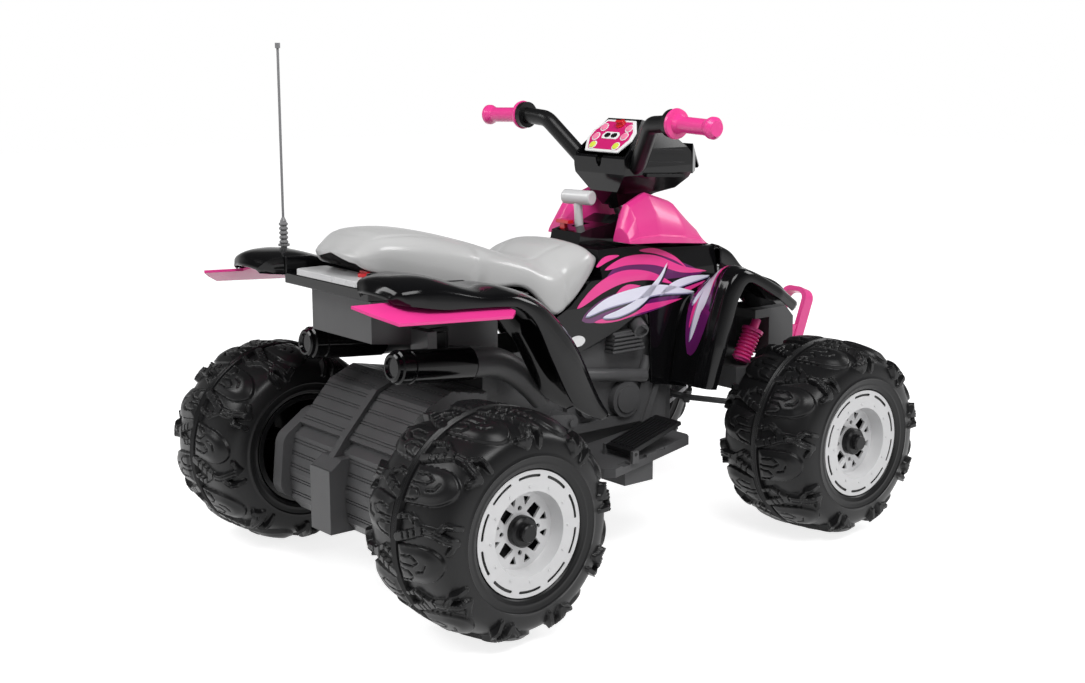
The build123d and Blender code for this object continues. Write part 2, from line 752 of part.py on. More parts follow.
# Tail box and the strap that runs up over the drum
with BuildPart() as tail_box:
    block((-TAIL_BOX_HALF, TAIL_BOX_HALF), (430, TAIL_BOX_REAR_Y), (TAIL_BOX_Z, 187))
    slab([(440, 187), (TAIL_BOX_REAR_Y - 4, 187), (474, 201), (440, 201)], -TAIL_BOX_HALF, TAIL_BOX_HALF)
    slab(
        [
            (345, 300),
            (345, 304 + STRAP_T),
            (352, 304 + STRAP_T),
            (397, 287 + STRAP_T),
            (454, 224 + STRAP_T),
            (476, 200),
            (462, 190),
            (440, 200),
            (390, 270),
        ],
        -STRAP_HALF,
        STRAP_HALF,
    )
    slab(DRUM, -DRUM_HALF, DRUM_HALF, mode=Mode.SUBTRACT)
keep("tail_box", tail_box.part)

# Suspension spring between the swing arm's shelf and the rear frame
spring_low = SHELF_Z + SPRING_WIRE_R + GAP
spring_rise = SPRING_SEAT_Z - SPRING_WIRE_R - GAP - spring_low
with BuildPart() as rear_spring:
    with BuildLine() as coil:
        Helix(spring_rise / SPRING_TURNS, spring_rise, SPRING_R, center=(0, SPRING_Y, spring_low))
    with BuildSketch(Plane(origin=coil.line @ 0, z_dir=coil.line % 0)):
        Circle(SPRING_WIRE_R)
    sweep()
keep("rear_spring", rear_spring.part)

# Body shell: open below, with a lower roof under the seat and a front leg on each side
BODY_SIDE = [
    (BODY_REAR_Y, 420),
    (127, 386),
    (79, 320),
    (-5, 348),
    (-72, 380),
    (-80, 250),
    (-160, 232),
    (-185, 330),
    (BODY_FRONT_Y, 400),
    (BODY_FRONT_Y, 465),
    (-100, 471),
    (-60, 478),
    (GATE_REAR_Y + 1, 478),
    (GATE_REAR_Y + 1, SEAT_ROOF_Z),
    (BODY_REAR_Y, SEAT_ROOF_Z),
]


def body_prism(inset, y_low, y_high, z_low, mode):
    """The body's cross section, narrowing towards its top, run between two stations."""
    with BuildSketch(Plane.XZ.offset(-y_high)) as section:
        with BuildLine():
            Polyline(
                (-BODY_HALF + inset, z_low), (BODY_HALF - inset, z_low),
                (BODY_HALF - inset, 392), (BODY_HALF - 4 - inset, 432), (BODY_TOP_HALF - inset, 480),
                (-BODY_TOP_HALF + inset, 480), (-BODY_HALF + 4 + inset, 432), (-BODY_HALF + inset, 392),
                close=True,
            )
        make_face()
    extrude(section.sketch, amount=y_high - y_low, dir=(0, -1, 0), mode=mode)


with BuildPart() as body_hollow:
    slab(
        [
            (BODY_REAR_Y + SLACK, 300),
            (BODY_REAR_Y + SLACK, SEAT_ROOF_Z - BODY_WALL),
            (GATE_REAR_Y + 1 - BODY_WALL, SEAT_ROOF_Z - BODY_WALL),
            (GATE_REAR_Y + 1 - BODY_WALL, 478 - BODY_WALL),
            (-60, 478 - BODY_WALL),
            (-100, 471 - BODY_WALL),
            (BODY_FRONT_Y - SLACK, 465 - BODY_WALL),
            (BODY_FRONT_Y - SLACK, 200),
            (BODY_REAR_Y + SLACK, 200),
        ],
        -BODY_HALF,
        BODY_HALF,
    )
    body_prism(BODY_WALL, BODY_FRONT_Y - SLACK, BODY_REAR_Y + SLACK, 150, Mode.INTERSECT)
with BuildPart() as body_shell:
    slab(BODY_SIDE, -BODY_HALF, BODY_HALF)
    body_prism(0, BODY_FRONT_Y, BODY_REAR_Y, 200, Mode.INTERSECT)
    add(body_hollow.part, mode=Mode.SUBTRACT)
    block((-HATCH_HALF, HATCH_HALF), (76, 142), (SEAT_ROOF_Z - 10, SEAT_ROOF_Z + 10), Mode.SUBTRACT)
    for hand in (-1, 1):
        skirt = sorted((hand * (BODY_HALF - 8), hand * (BODY_HALF + 1)))
        slab([(26, 480), (26, 444), (52, 431), (94, 398), (130, 380), (160, 380), (160, 480)], *skirt,
             mode=Mode.SUBTRACT)
        ear = sorted((hand * EAR_X, hand * (EAR_X + EAR_T)))
        slab(
            [
                (SEAT_HINGE_Y + 14, SEAT_ROOF_Z - 2),
                (SEAT_HINGE_Y + 24, SEAT_ROOF_Z - 2),
                (SEAT_HINGE_Y + 14, SEAT_HINGE_Z),
                (SEAT_HINGE_Y + 8, SEAT_HINGE_Z + 7),
                (SEAT_HINGE_Y, SEAT_HINGE_Z + 9),
                (SEAT_HINGE_Y - 8, SEAT_HINGE_Z + 5),
                (SEAT_HINGE_Y - 8, SEAT_HINGE_Z - 4),
                (SEAT_HINGE_Y - 3, SEAT_HINGE_Z - 9),
            ],
            *ear,
        )
    rod((-60, SEAT_HINGE_Y, SEAT_HINGE_Z), (60, SEAT_HINGE_Y, SEAT_HINGE_Z), PIN_R + RUN, Mode.SUBTRACT)
    rod((0, column_y(440), 440), (0, column_y(500), 500), COLUMN_R + SLACK, mode=Mode.SUBTRACT)
    block((-GATE_HALF + 6, GATE_HALF - 6), (-56, GATE_REAR_Y - 6), (460, 490), mode=Mode.SUBTRACT)
keep("body_shell", body_shell.part)

# Seat: a shell lofted through its stations, hinged at its rounded nose
SEAT = [
    (30, 80, 450, 476),
    (57, 96, 436, 492),
    (98, 104, 404, 487),
    (134, SEAT_HALF, 389, 471),
    (187, 101, 434, 484),
    (254, 102, 442, 507),
    (346, 97, 453, 530),
    (416, 80, 474, 534),
    (448, 62, 484, 518),
    (458, 54, 492, 508),
]


def seat_arch(half, low, top):
    """Points of a seat station's rounded outline, from one lower edge to the other."""
    mid = low + (top - low) * 0.62
    shoulder = top - 0.13 * (top - low)
    right = [(half, low), (half + 1, mid), (half * 0.78, shoulder)]
    return [*right, (0, top), *[(-x, z) for x, z in reversed(right)]]


def seat_section(station, wall=0):
    """Face of one seat station: an arch of the wall's thickness, or the full outline without one."""
    y, half, low, top = SEAT[station]
    with BuildSketch(Plane.XZ.offset(-y)) as section:
        with BuildLine():
            Spline(*seat_arch(half, low, top))
            if wall:
                Line((-half, low), (-half + wall, low))
                Spline(*reversed(seat_arch(half - wall, low, top - wall)))
                Line((half - wall, low), (half, low))
            else:
                Line((-half, low), (half, low))
        make_face()
    return section.sketch.face()


with BuildPart() as seat:
    loft([seat_section(station, SEAT_WALL) for station in range(len(SEAT))], ruled=True)
    extrude(seat_section(0), amount=SEAT_WALL, dir=(0, 1, 0))
    extrude(seat_section(len(SEAT) - 1), amount=SEAT_WALL, dir=(0, -1, 0))
    for hand in (-1, 1):
        ear = sorted((hand * (EAR_X + EAR_T + GAP), hand * (EAR_X + 2 * EAR_T + GAP)))
        slab(
            [
                (33, SEAT_HINGE_Z - 8),
                (SEAT_HINGE_Y + 9, SEAT_HINGE_Z - 8),
                (SEAT_HINGE_Y + 9, SEAT_HINGE_Z + 8),
                (33, SEAT_HINGE_Z + 8),
            ],
            *ear,
        )
        pin_out = hand * (EAR_X + 2 * EAR_T)
        rod((hand * (EAR_X - 2), SEAT_HINGE_Y, SEAT_HINGE_Z), (pin_out, SEAT_HINGE_Y, SEAT_HINGE_Z), PIN_R)
keep("seat", seat.part)

# Engine panels: relief plates that fill the gap below the body on each side
PANEL_OUTLINE = [
    (88, 182), (88, 316), (-5, 344), (-72, 376), (-88, 340), (-96, 250), (-132, 240), (-128, 182),
]
with BuildPart() as engine_panel:
    slab(PANEL_OUTLINE, PANEL_X, PANEL_X + 10)
    for level in range(FINS):
        z = FIN_Z + level * FIN_PITCH
        block((PANEL_X + 9, FIN_OUT_X), (-60 + level * 3, 10 - level), (z, z + FIN_PITCH / 2))
    block((PANEL_X + 9, FIN_OUT_X - 5), (-52, 6), (FIN_Z - 2, FIN_Z + FINS * FIN_PITCH))
    rod((PANEL_OUT_X - 6, 84, 284), (PANEL_OUT_X - 6, -72, 262), 11)
    rod((PANEL_OUT_X - 10, -70, 262), (PANEL_OUT_X - 12, -84, 292), 9)
    rod((PANEL_X + 6, -56, 356), (FIN_OUT_X + 6, -46, 342), 13)
    rod((FIN_OUT_X, -47.5, 344), (FIN_OUT_X + 7, -46, 342), 10, mode=Mode.SUBTRACT)
    rod((PANEL_X + 6, -29, 229), (PANEL_OUT_X, -29, 229), 30)
    rod((PANEL_X + 6, -29, 229), (PANEL_OUT_X + 3, -29, 229), 22)
    rod((PANEL_X + 6, 52, 229), (PANEL_OUT_X, 52, 229), 19)
    rod((PANEL_X + 6, 52, 229), (PANEL_OUT_X + 3, 52, 229), 12)
    engine_foot = [(80, 186), (-70, 186), (-92, 214), (-92, 250), (-66, 250), (-56, 204), (80, 200)]
    slab(engine_foot, PANEL_X, PANEL_OUT_X - 6)
    slab([(-66, 184), (-78, 184), (-104, 244), (-92, 244)], PANEL_X, PANEL_OUT_X - 2)
    slab([(80, 262), (20, 270), (14, 330), (80, 312)], PANEL_X, PANEL_OUT_X - 12)
keep("engine_panel_left", engine_panel.part)
keep("engine_panel_right", mirror(engine_panel.part, about=Plane.YZ))

# Tank cover: a lofted lobe on each side, bridged in front of the steering column
TANK = [
    (-24, 64, 104, 485, 514),
    (-45, 50, 108, 484, 546),
    (-95, 40, 108, 482, 560),
    (-150, 30, 104, 476, 540),
    (-200, 20, 92, 470, 502),
    (-224, 14, 80, 468, 477),
]


def tank_lobe(hand):
    """One lobe of the tank cover, lofted from its rear to its front."""
    faces = []
    for y, inner, outer, low, top in TANK:
        width = outer - inner
        with BuildSketch(Plane.XZ.offset(-y)) as section:
            with BuildLine():
                Line((hand * outer, low), (hand * inner, low))
                Spline(
                    (hand * inner, low),
                    (hand * (inner + 0.08 * width), low + 0.62 * (top - low)),
                    (hand * (inner + 0.42 * width), top),
                    (hand * (outer - 0.16 * width), low + 0.72 * (top - low)),
                    (hand * outer, low),
                )
            make_face()
        faces.append(section.sketch.face())
    loft(faces)


with BuildPart() as tank_cover:
    tank_lobe(1)
    tank_lobe(-1)
    slab([(-128, 479), (-128, 503), (-160, 500), (-200, 486), (-222, 474), (-222, 468)], -45, 45)
keep("tank_cover", tank_cover.part)

# Gear gate: the raised console between the tank lobes, slotted for the lever and the lock
with BuildPart() as gear_gate:
    slab(
        [
            (GATE_REAR_Y, 478 + GAP),
            (GATE_REAR_Y - 5, 500),
            (-8, GATE_Z),
            (-44, GATE_Z + 4),
            (-72, GATE_Z + 14),
            (-98, GATE_Z + 11),
            (-106, 490),
            (-106, 478 + GAP),
        ],
        -GATE_HALF,
        GATE_HALF,
    )
    fillet(gear_gate.edges().filter_by(Axis.X).group_by(Axis.Z)[-1], radius=4)
    gate_rib = [(-50, GATE_Z + 2), (-50, GATE_Z + 6), (-72, GATE_Z + 16), (-92, GATE_Z + 13), (-92, GATE_Z)]
    for x in (-28, -20, -12):
        slab(gate_rib, x, x + 3)
    rod((0, column_y(470), 470), (0, column_y(540), 540), COLUMN_R + SLACK, mode=Mode.SUBTRACT)
    block((-GATE_HALF + 4, GATE_HALF - 4), (-52, GATE_REAR_Y - 9), (470, GATE_Z - 6), mode=Mode.SUBTRACT)
    slot_reach = (GATE_Z - LEVER_PIVOT_Z) * tan(radians(LEVER_TRAVEL)) + STEM_R + SLACK
    block(
        (LEVER_X - STEM_R - GAP, LEVER_X + STEM_R + GAP),
        (LEVER_Y - slot_reach - 3, LEVER_Y + slot_reach),
        (GATE_Z - 8, GATE_Z + 10),
        mode=Mode.SUBTRACT,
    )
    block(
        (LOCK_X - 6, LOCK_X + 6),
        (LOCK_Y - 5, LOCK_Y + LOCK_TRAVEL + 4),
        (GATE_Z - 8, GATE_Z + 10),
        mode=Mode.SUBTRACT,
    )
keep("gear_gate", gear_gate.part)

# Gear lever: pivot bar, stem and T handle
with BuildPart() as gear_lever:
    rod((LEVER_X - 16, LEVER_Y, LEVER_PIVOT_Z), (LEVER_X + 16, LEVER_Y, LEVER_PIVOT_Z), PIN_R)
    rod((LEVER_X, LEVER_Y, LEVER_PIVOT_Z), (LEVER_X, LEVER_Y + 4, 545), STEM_R)
    rod((LEVER_X + 28, LEVER_Y + 9, 552), (LEVER_X - 28, LEVER_Y - 3, 552), 12)
    fillet(gear_lever.faces().filter_by(GeomType.PLANE).group_by(Axis.Z)[-1].edges(), radius=3)
keep("gear_lever", gear_lever.part)

# Reverse lock: a red tab that slides beside the lever
with BuildPart() as reverse_lock:
    block((LOCK_X - 5.7, LOCK_X + 5.7), (LOCK_Y - 4, LOCK_Y + 3), (GATE_Z - 5.5, GATE_Z + 2))
    block((LOCK_X - 18, LOCK_X + 12), (LOCK_Y - 6, LOCK_Y + 6), (GATE_Z + 4 + GAP, GATE_Z + 10))
    block((LOCK_X - 5, LOCK_X + 5), (LOCK_Y - 4, LOCK_Y + 3), (GATE_Z + 1, GATE_Z + 5))
keep("reverse_lock", reverse_lock.part)

# Steering head: a faceted pod, hollow behind its instrument panel
HEAD_SIDE = [
    (-75, HEAD_BASE_Z), (-60, 560), (-50, 590), (-48, 622), (-96, 670), (-104, 677), (-150, 664),
    (-200, 622), (-206, 578), (-192, 560), (-150, 553), (-112, 540), (-100, HEAD_BASE_Z),
]
HEAD_INNER = [
    (-78, HEAD_BASE_Z + 4), (-64, 562), (-54, 591), (-52, 620), (-94, 663), (-105, 672), (-148, 660),
    (-196, 620), (-202, 579), (-189, 564), (-148, 557), (-111, 544.5), (-99, HEAD_BASE_Z + 4),
]
HEAD_FRONT = [(20, HEAD_BASE_Z), (29, 556), (60, 588), (62, 600), (62, 630), (40, 678)]


def head_form(side_outline, inset):
    """The pod as its side outline crossed with its front outline."""
    slab(side_outline, -70, 70)
    half = [(x - inset, z) for x, z in HEAD_FRONT]
    with BuildSketch(Plane.XZ.offset(40)) as front:
        with BuildLine():
            Polyline(*half, *[(-x, z) for x, z in reversed(half)], close=True)
        make_face()
    extrude(front.sketch, amount=180, dir=(0, -1, 0), mode=Mode.INTERSECT)


panel_plane = Plane(
    origin=(0, PANEL_Y, PANEL_Z),
    x_dir=(-1, 0, 0),
    z_dir=(0, cos(radians(90 - PANEL_TILT)), sin(radians(90 - PANEL_TILT))),
)
PANEL_SHAPE = [(40, 0), (54, 26), (52, 44), (34, 68)]
BAR_ROUTE = [
    (-180, -41.4, 678), (-128, -45, 674), (-62, -77, 602), (62, -77, 602), (128, -45, 674),
    (180, -41.4, 678),
]
BAR_BEND = 24

with BuildPart() as head_hollow:
    head_form(HEAD_INNER, 4)
with BuildPart() as steering_head:
    head_form(HEAD_SIDE, 0)
    add(head_hollow.part, mode=Mode.SUBTRACT)
    for z in (585, 605, 625):
        for hand in (-1, 1):
            edge = sorted((hand * 58, hand * 65))
            slab([(-96, z), (-96, z + 5), (-182, z), (-182, z - 5)], *edge)
    rod((0, column_y(HEAD_BASE_Z), HEAD_BASE_Z), (0, column_y(575), 575), COLUMN_R + 6)
    with BuildSketch(panel_plane.offset(-PANEL_PLATE - GAP)) as opening:
        with BuildLine():
            Polyline(
                *[(x - 2, s + 2) for x, s in PANEL_SHAPE[:2]], *[(x - 2, s - 2) for x, s in PANEL_SHAPE[2:]],
                *[(-x + 2, s - 2) for x, s in reversed(PANEL_SHAPE[2:])],
                *[(-x + 2, s + 2) for x, s in reversed(PANEL_SHAPE[:2])],
                close=True,
            )
        make_face()
    extrude(opening.sketch, amount=40, both=True, mode=Mode.SUBTRACT)
    with BuildSketch(panel_plane.offset(-PANEL_PLATE - GAP)) as seat_face:
        Rectangle(140, 220)
    extrude(seat_face.sketch, amount=60, dir=panel_plane.z_dir, mode=Mode.SUBTRACT)
    rod(tuple(foot), (0, column_y(620), 620), COLUMN_R + RUN, mode=Mode.SUBTRACT)
    tube(BAR_ROUTE, BAR_BEND, BAR_R + RUN, mode=Mode.SUBTRACT)
keep("steering_head", steering_head.part)

# Front cowl: a wedge ahead of the head
with BuildPart() as windshield:
    with BuildSketch(Plane.XY.offset(584)) as footprint:
        Polygon((-55, -211), (55, -211), (20, -262), (-20, -262), align=None)
    extrude(footprint.sketch, amount=50, dir=(0, 0, 1))
    slab([(-211, 584), (-211, 634), (-262, 592)], -60, 60, mode=Mode.INTERSECT)
    slab([(-213, 580), (-213, 628), (-256, 592)], -42, 42, mode=Mode.SUBTRACT)
    for hand in (-1, 1):
        post = sorted((hand * 30, hand * 42))
        slab([(-206.3, 590), (-206.3, 606), (-214, 606), (-214, 590)], *post)
keep("windshield", windshield.part)

# Handlebar with an end core for each grip
GRIP_AXIS = Vector(96, 7, -3).normalized()
bar_end = Vector(GRIP_START_X, -41, 678)
with BuildPart() as handlebar:
    tube(BAR_ROUTE, BAR_BEND, BAR_R)
    for hand in (-1, 1):
        start = Vector(hand * bar_end.X, bar_end.Y, bar_end.Z)
        axis = Vector(hand * GRIP_AXIS.X, GRIP_AXIS.Y, GRIP_AXIS.Z)
        rod(tuple(start - axis * 10), tuple(start - axis * GAP), 22)
        rod(tuple(start - axis * 2), tuple(start + axis * (GRIP_LENGTH - 16)), BAR_CORE_R)
keep("handlebar", handlebar.part)

# Grips: soft sleeves with a flange at one end and a knob at the other
with BuildPart() as grip:
    with BuildSketch(Plane.XZ):
        with BuildLine():
            Polyline(
                (GRIP_END_R, GRIP_LENGTH),
                (0, GRIP_LENGTH),
                (0, GRIP_LENGTH - 14),
                (BAR_CORE_R + RUN, GRIP_LENGTH - 14),
                (BAR_CORE_R + RUN, 0),
                (GRIP_FLANGE_R - 1, 0),
                (GRIP_FLANGE_R, 2),
                (GRIP_FLANGE_R - 1, 6),
                (GRIP_R + 3, 8),
                (GRIP_R, 16),
                (GRIP_R, GRIP_LENGTH - 22),
                (GRIP_KNOB_R - 2, GRIP_LENGTH - 16),
                (GRIP_KNOB_R, GRIP_LENGTH - 11),
                (GRIP_KNOB_R, GRIP_LENGTH - 6),
                close=True,
            )
        make_face()
    revolve(axis=Axis.Z)
for hand, name in ((1, "grip_left"), (-1, "grip_right")):
    axis = Vector(hand * GRIP_AXIS.X, GRIP_AXIS.Y, GRIP_AXIS.Z)
    place = Plane(origin=(hand * bar_end.X, bar_end.Y, bar_end.Z), x_dir=(0, 0, 1), z_dir=axis)
    keep(name, grip.part.moved(place.location))

# Instrument panel: the plate over the head's opening, bored for the buttons and the key
BUTTONS = [(-28, 12), (28, 12), (-34, 30), (-28, 50), (33, 33), (32, 50)]
KEY_SPOT = (6, 58)
DISPLAY_SPOT = (0, 33)
with BuildPart() as instrument_panel:
    with BuildSketch(panel_plane.offset(-PANEL_PLATE)):
        with BuildLine():
            Polyline(*PANEL_SHAPE, *[(-x, s) for x, s in reversed(PANEL_SHAPE)], close=True)
        make_face()
    extrude(amount=PANEL_PLATE)
    fillet(instrument_panel.edges().filter_by(Axis.X, reverse=True).group_by(Axis.Y)[-1], radius=0.5)
    with BuildSketch(panel_plane):
        with Locations(DISPLAY_SPOT):
            RectangleRounded(30, 16, 4)
    extrude(amount=1)
    with BuildSketch(panel_plane):
        with Locations(*BUTTONS):
            Circle(BUTTON_R + GAP)
        with Locations(KEY_SPOT):
            Circle(KEY_R + GAP)
    extrude(amount=-2 * PANEL_PLATE, mode=Mode.SUBTRACT)
keep("instrument_panel", instrument_panel.part)

# Push buttons: a domed cap whose collar stays behind the panel
with BuildPart() as button:
    with BuildSketch(Plane.XZ):
        with BuildLine():
            Polyline(
                (0, -PANEL_PLATE - BUTTON_TRAVEL - 3),
                (BUTTON_R + 1.5, -PANEL_PLATE - BUTTON_TRAVEL - 3),
                (BUTTON_R + 1.5, -PANEL_PLATE - GAP),
                (BUTTON_R, -PANEL_PLATE - GAP),
                (BUTTON_R, BUTTON_TRAVEL + 0.6),
                (BUTTON_R - 1.2, BUTTON_TRAVEL + 1.6),
                (0, BUTTON_TRAVEL + 2.2),
                close=True,
            )
        make_face()
    revolve(axis=Axis.Z)
for index, (x, s) in enumerate(BUTTONS):
    spot = Plane(origin=panel_plane.from_local_coords((x, s, 0)), x_dir=(-1, 0, 0), z_dir=panel_plane.z_dir)
    keep(f"panel_button_{index + 1}", button.part.moved(spot.location))

# Key dial
with BuildPart() as key_dial:
    with BuildSketch(Plane.XY.offset(-PANEL_PLATE - 5)):
        Circle(KEY_R - 2)
    extrude(amount=PANEL_PLATE + 6)
    with BuildSketch(Plane.XY.offset(GAP)):
        Circle(KEY_R)
    extrude(amount=3)
    with BuildSketch(Plane.XY.offset(3)):
        RectangleRounded(2 * KEY_R - 3, 5, 2)
    extrude(amount=6)
key_spot = panel_plane.from_local_coords((*KEY_SPOT, 0))
key_place = Plane(origin=key_spot, x_dir=(-1, 0, 0), z_dir=panel_plane.z_dir)
keep("key_dial", key_dial.part.moved(key_place.location))

# Front fender: arched sheets beside the body, joined by the hood
ARCH = [
    (-112, 250), (-128, 330), (-148, 396), (-160, 425), (-178, 440), (-205, 438), (-272, 407), (-330, 372),
]
HOOD = [(HOOD_REAR_Y, 466), (-262, 451), (-300, 418), (-380, 388), (-430, 345)]


def arch_sheet(points, drop, x_low, x_high):
    """A sheet under an arch outline, with its lower face drawn towards the arch's middle."""
    middle = Vector(sum(y for y, z in points) / len(points), min(z for y, z in points))
    lower = []
    for y, z in points:
        inward = (middle - Vector(y, z)).normalized() * drop
        lower.append((y + inward.X, z + inward.Y))
    slab([*points, *reversed(lower)], x_low, x_high)


with BuildPart() as front_fender:
    for hand in (-1, 1):
        arch_sheet(ARCH, SHEET, *sorted((hand * (BODY_HALF + GAP), hand * FRONT_FENDER_X)))
        arch_sheet(ARCH, FRONT_LIP, *sorted((hand * (FRONT_FENDER_X - LIP), hand * FRONT_FENDER_X)))
    slab([*HOOD, (-400, 345), (-400, HOOD_Z), (HOOD_REAR_Y, HOOD_Z)], -HOOD_HALF, HOOD_HALF)
    slab(
        [
            (HOOD_REAR_Y + SLACK, 461), (-260, 446), (-298, 413), (-378, 383), (-420, 350),
            (-420, 340), (HOOD_REAR_Y + SLACK, 340),
        ],
        -HOOD_HALF + SHEET,
        HOOD_HALF - SHEET,
        mode=Mode.SUBTRACT,
    )
keep("front_fender", front_fender.part)

# Front shocks: ribbed sleeves from the beam to the towers
shock_foot = Vector(0, -275, 256)
shock_top = Vector(0, -318, 332)
shock_axis = (shock_top - shock_foot).normalized()
ribs = []
for turn in range(SHOCK_RIBS):
    low = SHOCK_RIB_START + turn * SHOCK_PITCH
    ribs += [(SHOCK_R - 4, low), (SHOCK_R, low + SHOCK_PITCH * 0.35), (SHOCK_R, low + SHOCK_PITCH * 0.65)]
ribs_top = SHOCK_RIB_START + SHOCK_RIBS * SHOCK_PITCH
with BuildPart() as shock:
    with BuildSketch(Plane.XZ):
        with BuildLine():
            Polyline(
                (0, 7), (SHOCK_R - 5, 7), *ribs, (SHOCK_R - 4, ribs_top), (SHOCK_R + 2, ribs_top),
                (SHOCK_R + 2, ribs_top + 6), (8, ribs_top + 6), (8, 86), (0, 86),
                close=True,
            )
        make_face()
    revolve(axis=Axis.Z)
with BuildPart() as front_shocks:
    for hand in (-1, 1):
        place = Plane(origin=(hand * SHOCK_X, shock_foot.Y, shock_foot.Z), x_dir=(1, 0, 0), z_dir=shock_axis)
        add(shock.part.moved(place.location))
keep("front_shocks", front_shocks.part)

# Bumper: a leaning U band with a drilled strut back to the frame on each side
bumper_lean = Plane(origin=(0, -528.3, 252), x_dir=(1, 0, 0), z_dir=(0, -0.93, -0.36))
with BuildPart() as bumper:
    with BuildSketch(bumper_lean):
        with Locations((0, -6)):
            RectangleRounded(2 * BUMPER_HALF, 210, 22)
        with Locations((0, -20)):
            RectangleRounded(2 * BUMPER_HALF - 18, 220, 14, mode=Mode.SUBTRACT)
    extrude(amount=-BUMPER_DEPTH)
    for hand in (-1, 1):
        strut = sorted((hand * (BUMPER_HALF - 9), hand * (BUMPER_HALF - 2)))
        slab([(NOSE_FRONT_Y - GAP, 302), (NOSE_FRONT_Y - GAP, 268), (-520, 254), (-532, 284)], *strut)
        for y, z in ((-448, 286), (-476, 281)):
            rod((-60, y, z), (60, y, z), 6.5, mode=Mode.SUBTRACT)
keep("bumper", bumper.part)

# Rear fender: deck, arched wings with rounded rear pods, and walls between them
WING = [
    (125, 256), (143, 285), (183, 362), (222, 409), (259, 442), (314, 462), (367, 465), (434, 486),
    (470, 489), (500, 484), (513, 470),
]
WING_LIP = [
    (506, 463), (480, 458), (434, 448), (401, 446), (330, 441), (306, 436), (278, 414), (245, 350),
    (208, 286), (150, 250),
]
WING_INNER = [
    (131, 257), (148, 284), (188, 360), (226, 405), (261, 437), (315, 457), (367, 460), (434, 481),
    (470, 484), (498, 479), (506, 468),
]
with BuildPart() as rear_fender:
    slab(
        [
            (DECK_FRONT_Y, deck_z(DECK_FRONT_Y)),
            (DECK_REAR_Y, DECK_Z),
            (DECK_REAR_Y, DECK_Z - 16),
            (DECK_REAR_Y - SHEET, DECK_Z - 16),
            (DECK_REAR_Y - SHEET, deck_z(DECK_REAR_Y - SHEET) - SHEET),
            (DECK_FRONT_Y, deck_z(DECK_FRONT_Y) - SHEET),
        ],
        -REAR_FENDER_INNER_X,
        REAR_FENDER_INNER_X,
    )
    for hand in (-1, 1):
        outer = hand * REAR_FENDER_X
        leg = sorted((hand * FENDER_LEG_X, outer))
        slab([*WING, *reversed(WING_INNER)], *leg)
        slab([*WING, *WING_LIP], *sorted((outer - hand * LIP, outer)))
        inboard = sorted((hand * (REAR_FENDER_INNER_X - 3), hand * (FENDER_LEG_X + 1)))
        slab([*WING[3:8], (DECK_REAR_Y, 488), (DECK_REAR_Y, 483), *reversed(WING_INNER[3:8])], *inboard)
        wall = sorted((hand * (REAR_FENDER_INNER_X - 3), hand * (REAR_FENDER_INNER_X + 2)))
        slab([(250, 432), *WING[4:8], (DECK_REAR_Y, 488), (DECK_REAR_Y, DECK_Z - 16)], *wall)
        gusset = [(DECK_FRONT_Y, 425), (DECK_FRONT_Y, 430), (262, 440), (262, 436), (226, 405), (222, 404)]
        slab(gusset, *wall)
    block((-22, 22), (DECK_FRONT_Y + 30, 392), (deck_z(220) - 12, DECK_Z + 20), mode=Mode.SUBTRACT)
    rod((KNOB_X, KNOB_Y, 440), (KNOB_X, KNOB_Y, 500), 8, mode=Mode.SUBTRACT)
    block((-DECK_PLATE_HALF + 12, DECK_PLATE_HALF - 12), (434, 466), (450, 470), mode=Mode.SUBTRACT)
    rod((ANTENNA_X, ANTENNA_Y, 440), (ANTENNA_X, ANTENNA_Y, 520), 5 + RUN, mode=Mode.SUBTRACT)
keep("rear_fender", rear_fender.part)

# Rear deck plate with the bore for the seat knob
with BuildPart() as rear_deck:
    block(
        (-DECK_PLATE_HALF, DECK_PLATE_HALF),
        (DECK_PLATE_FRONT_Y, DECK_REAR_Y),
        (DECK_Z + GAP, DECK_Z + DECK_PLATE_T),
    )
    fillet(rear_deck.edges().filter_by(Axis.Z), radius=8)
    fillet(rear_deck.faces().sort_by(Axis.Z)[-1].edges(), radius=2)
    rod((KNOB_X, KNOB_Y, 450), (KNOB_X, KNOB_Y, 480), 4 + RUN, mode=Mode.SUBTRACT)
keep("rear_deck", rear_deck.part)

# Seat knob: a quarter-turn catch in the deck plate
with BuildPart() as seat_knob:
    rod((KNOB_X, KNOB_Y, DECK_Z - 8), (KNOB_X, KNOB_Y, DECK_Z + DECK_PLATE_T + 2), 4)
    rod((KNOB_X, KNOB_Y, DECK_Z - 8), (KNOB_X, KNOB_Y, DECK_Z - 4), 6.5)
    knob_low = DECK_Z + DECK_PLATE_T + GAP
    rod((KNOB_X, KNOB_Y, knob_low), (KNOB_X, KNOB_Y, knob_low + 5), 10)
    block((KNOB_X - 9, KNOB_X + 9), (KNOB_Y - 2.5, KNOB_Y + 2.5), (knob_low + 4, knob_low + 8))
keep("seat_knob", seat_knob.part)

# Rear flaps: flat blades that slope outward under the wings
with BuildPart() as rear_flap:
    with BuildSketch(Plane.XY.offset(400)) as blade:
        Polygon(
            (178, 400), (178, 488), (201, 500), (204, 564), (224, 547), (250, 520), (250, 330), (238, 316),
            (206, 330),
            align=None,
        )
    extrude(blade.sketch, amount=120, dir=(0, 0, 1))
    flap_plane = Plane(origin=(250, 520, FLAP_Z), z_dir=(0.43, -0.059, 1))
    with BuildSketch(flap_plane) as cut:
        Rectangle(1400, 1400)
    extrude(cut.sketch, amount=FLAP_T, dir=(0, 0, 1), mode=Mode.INTERSECT)
keep("rear_flap_left", rear_flap.part)
keep("rear_flap_right", mirror(rear_flap.part, about=Plane.YZ))

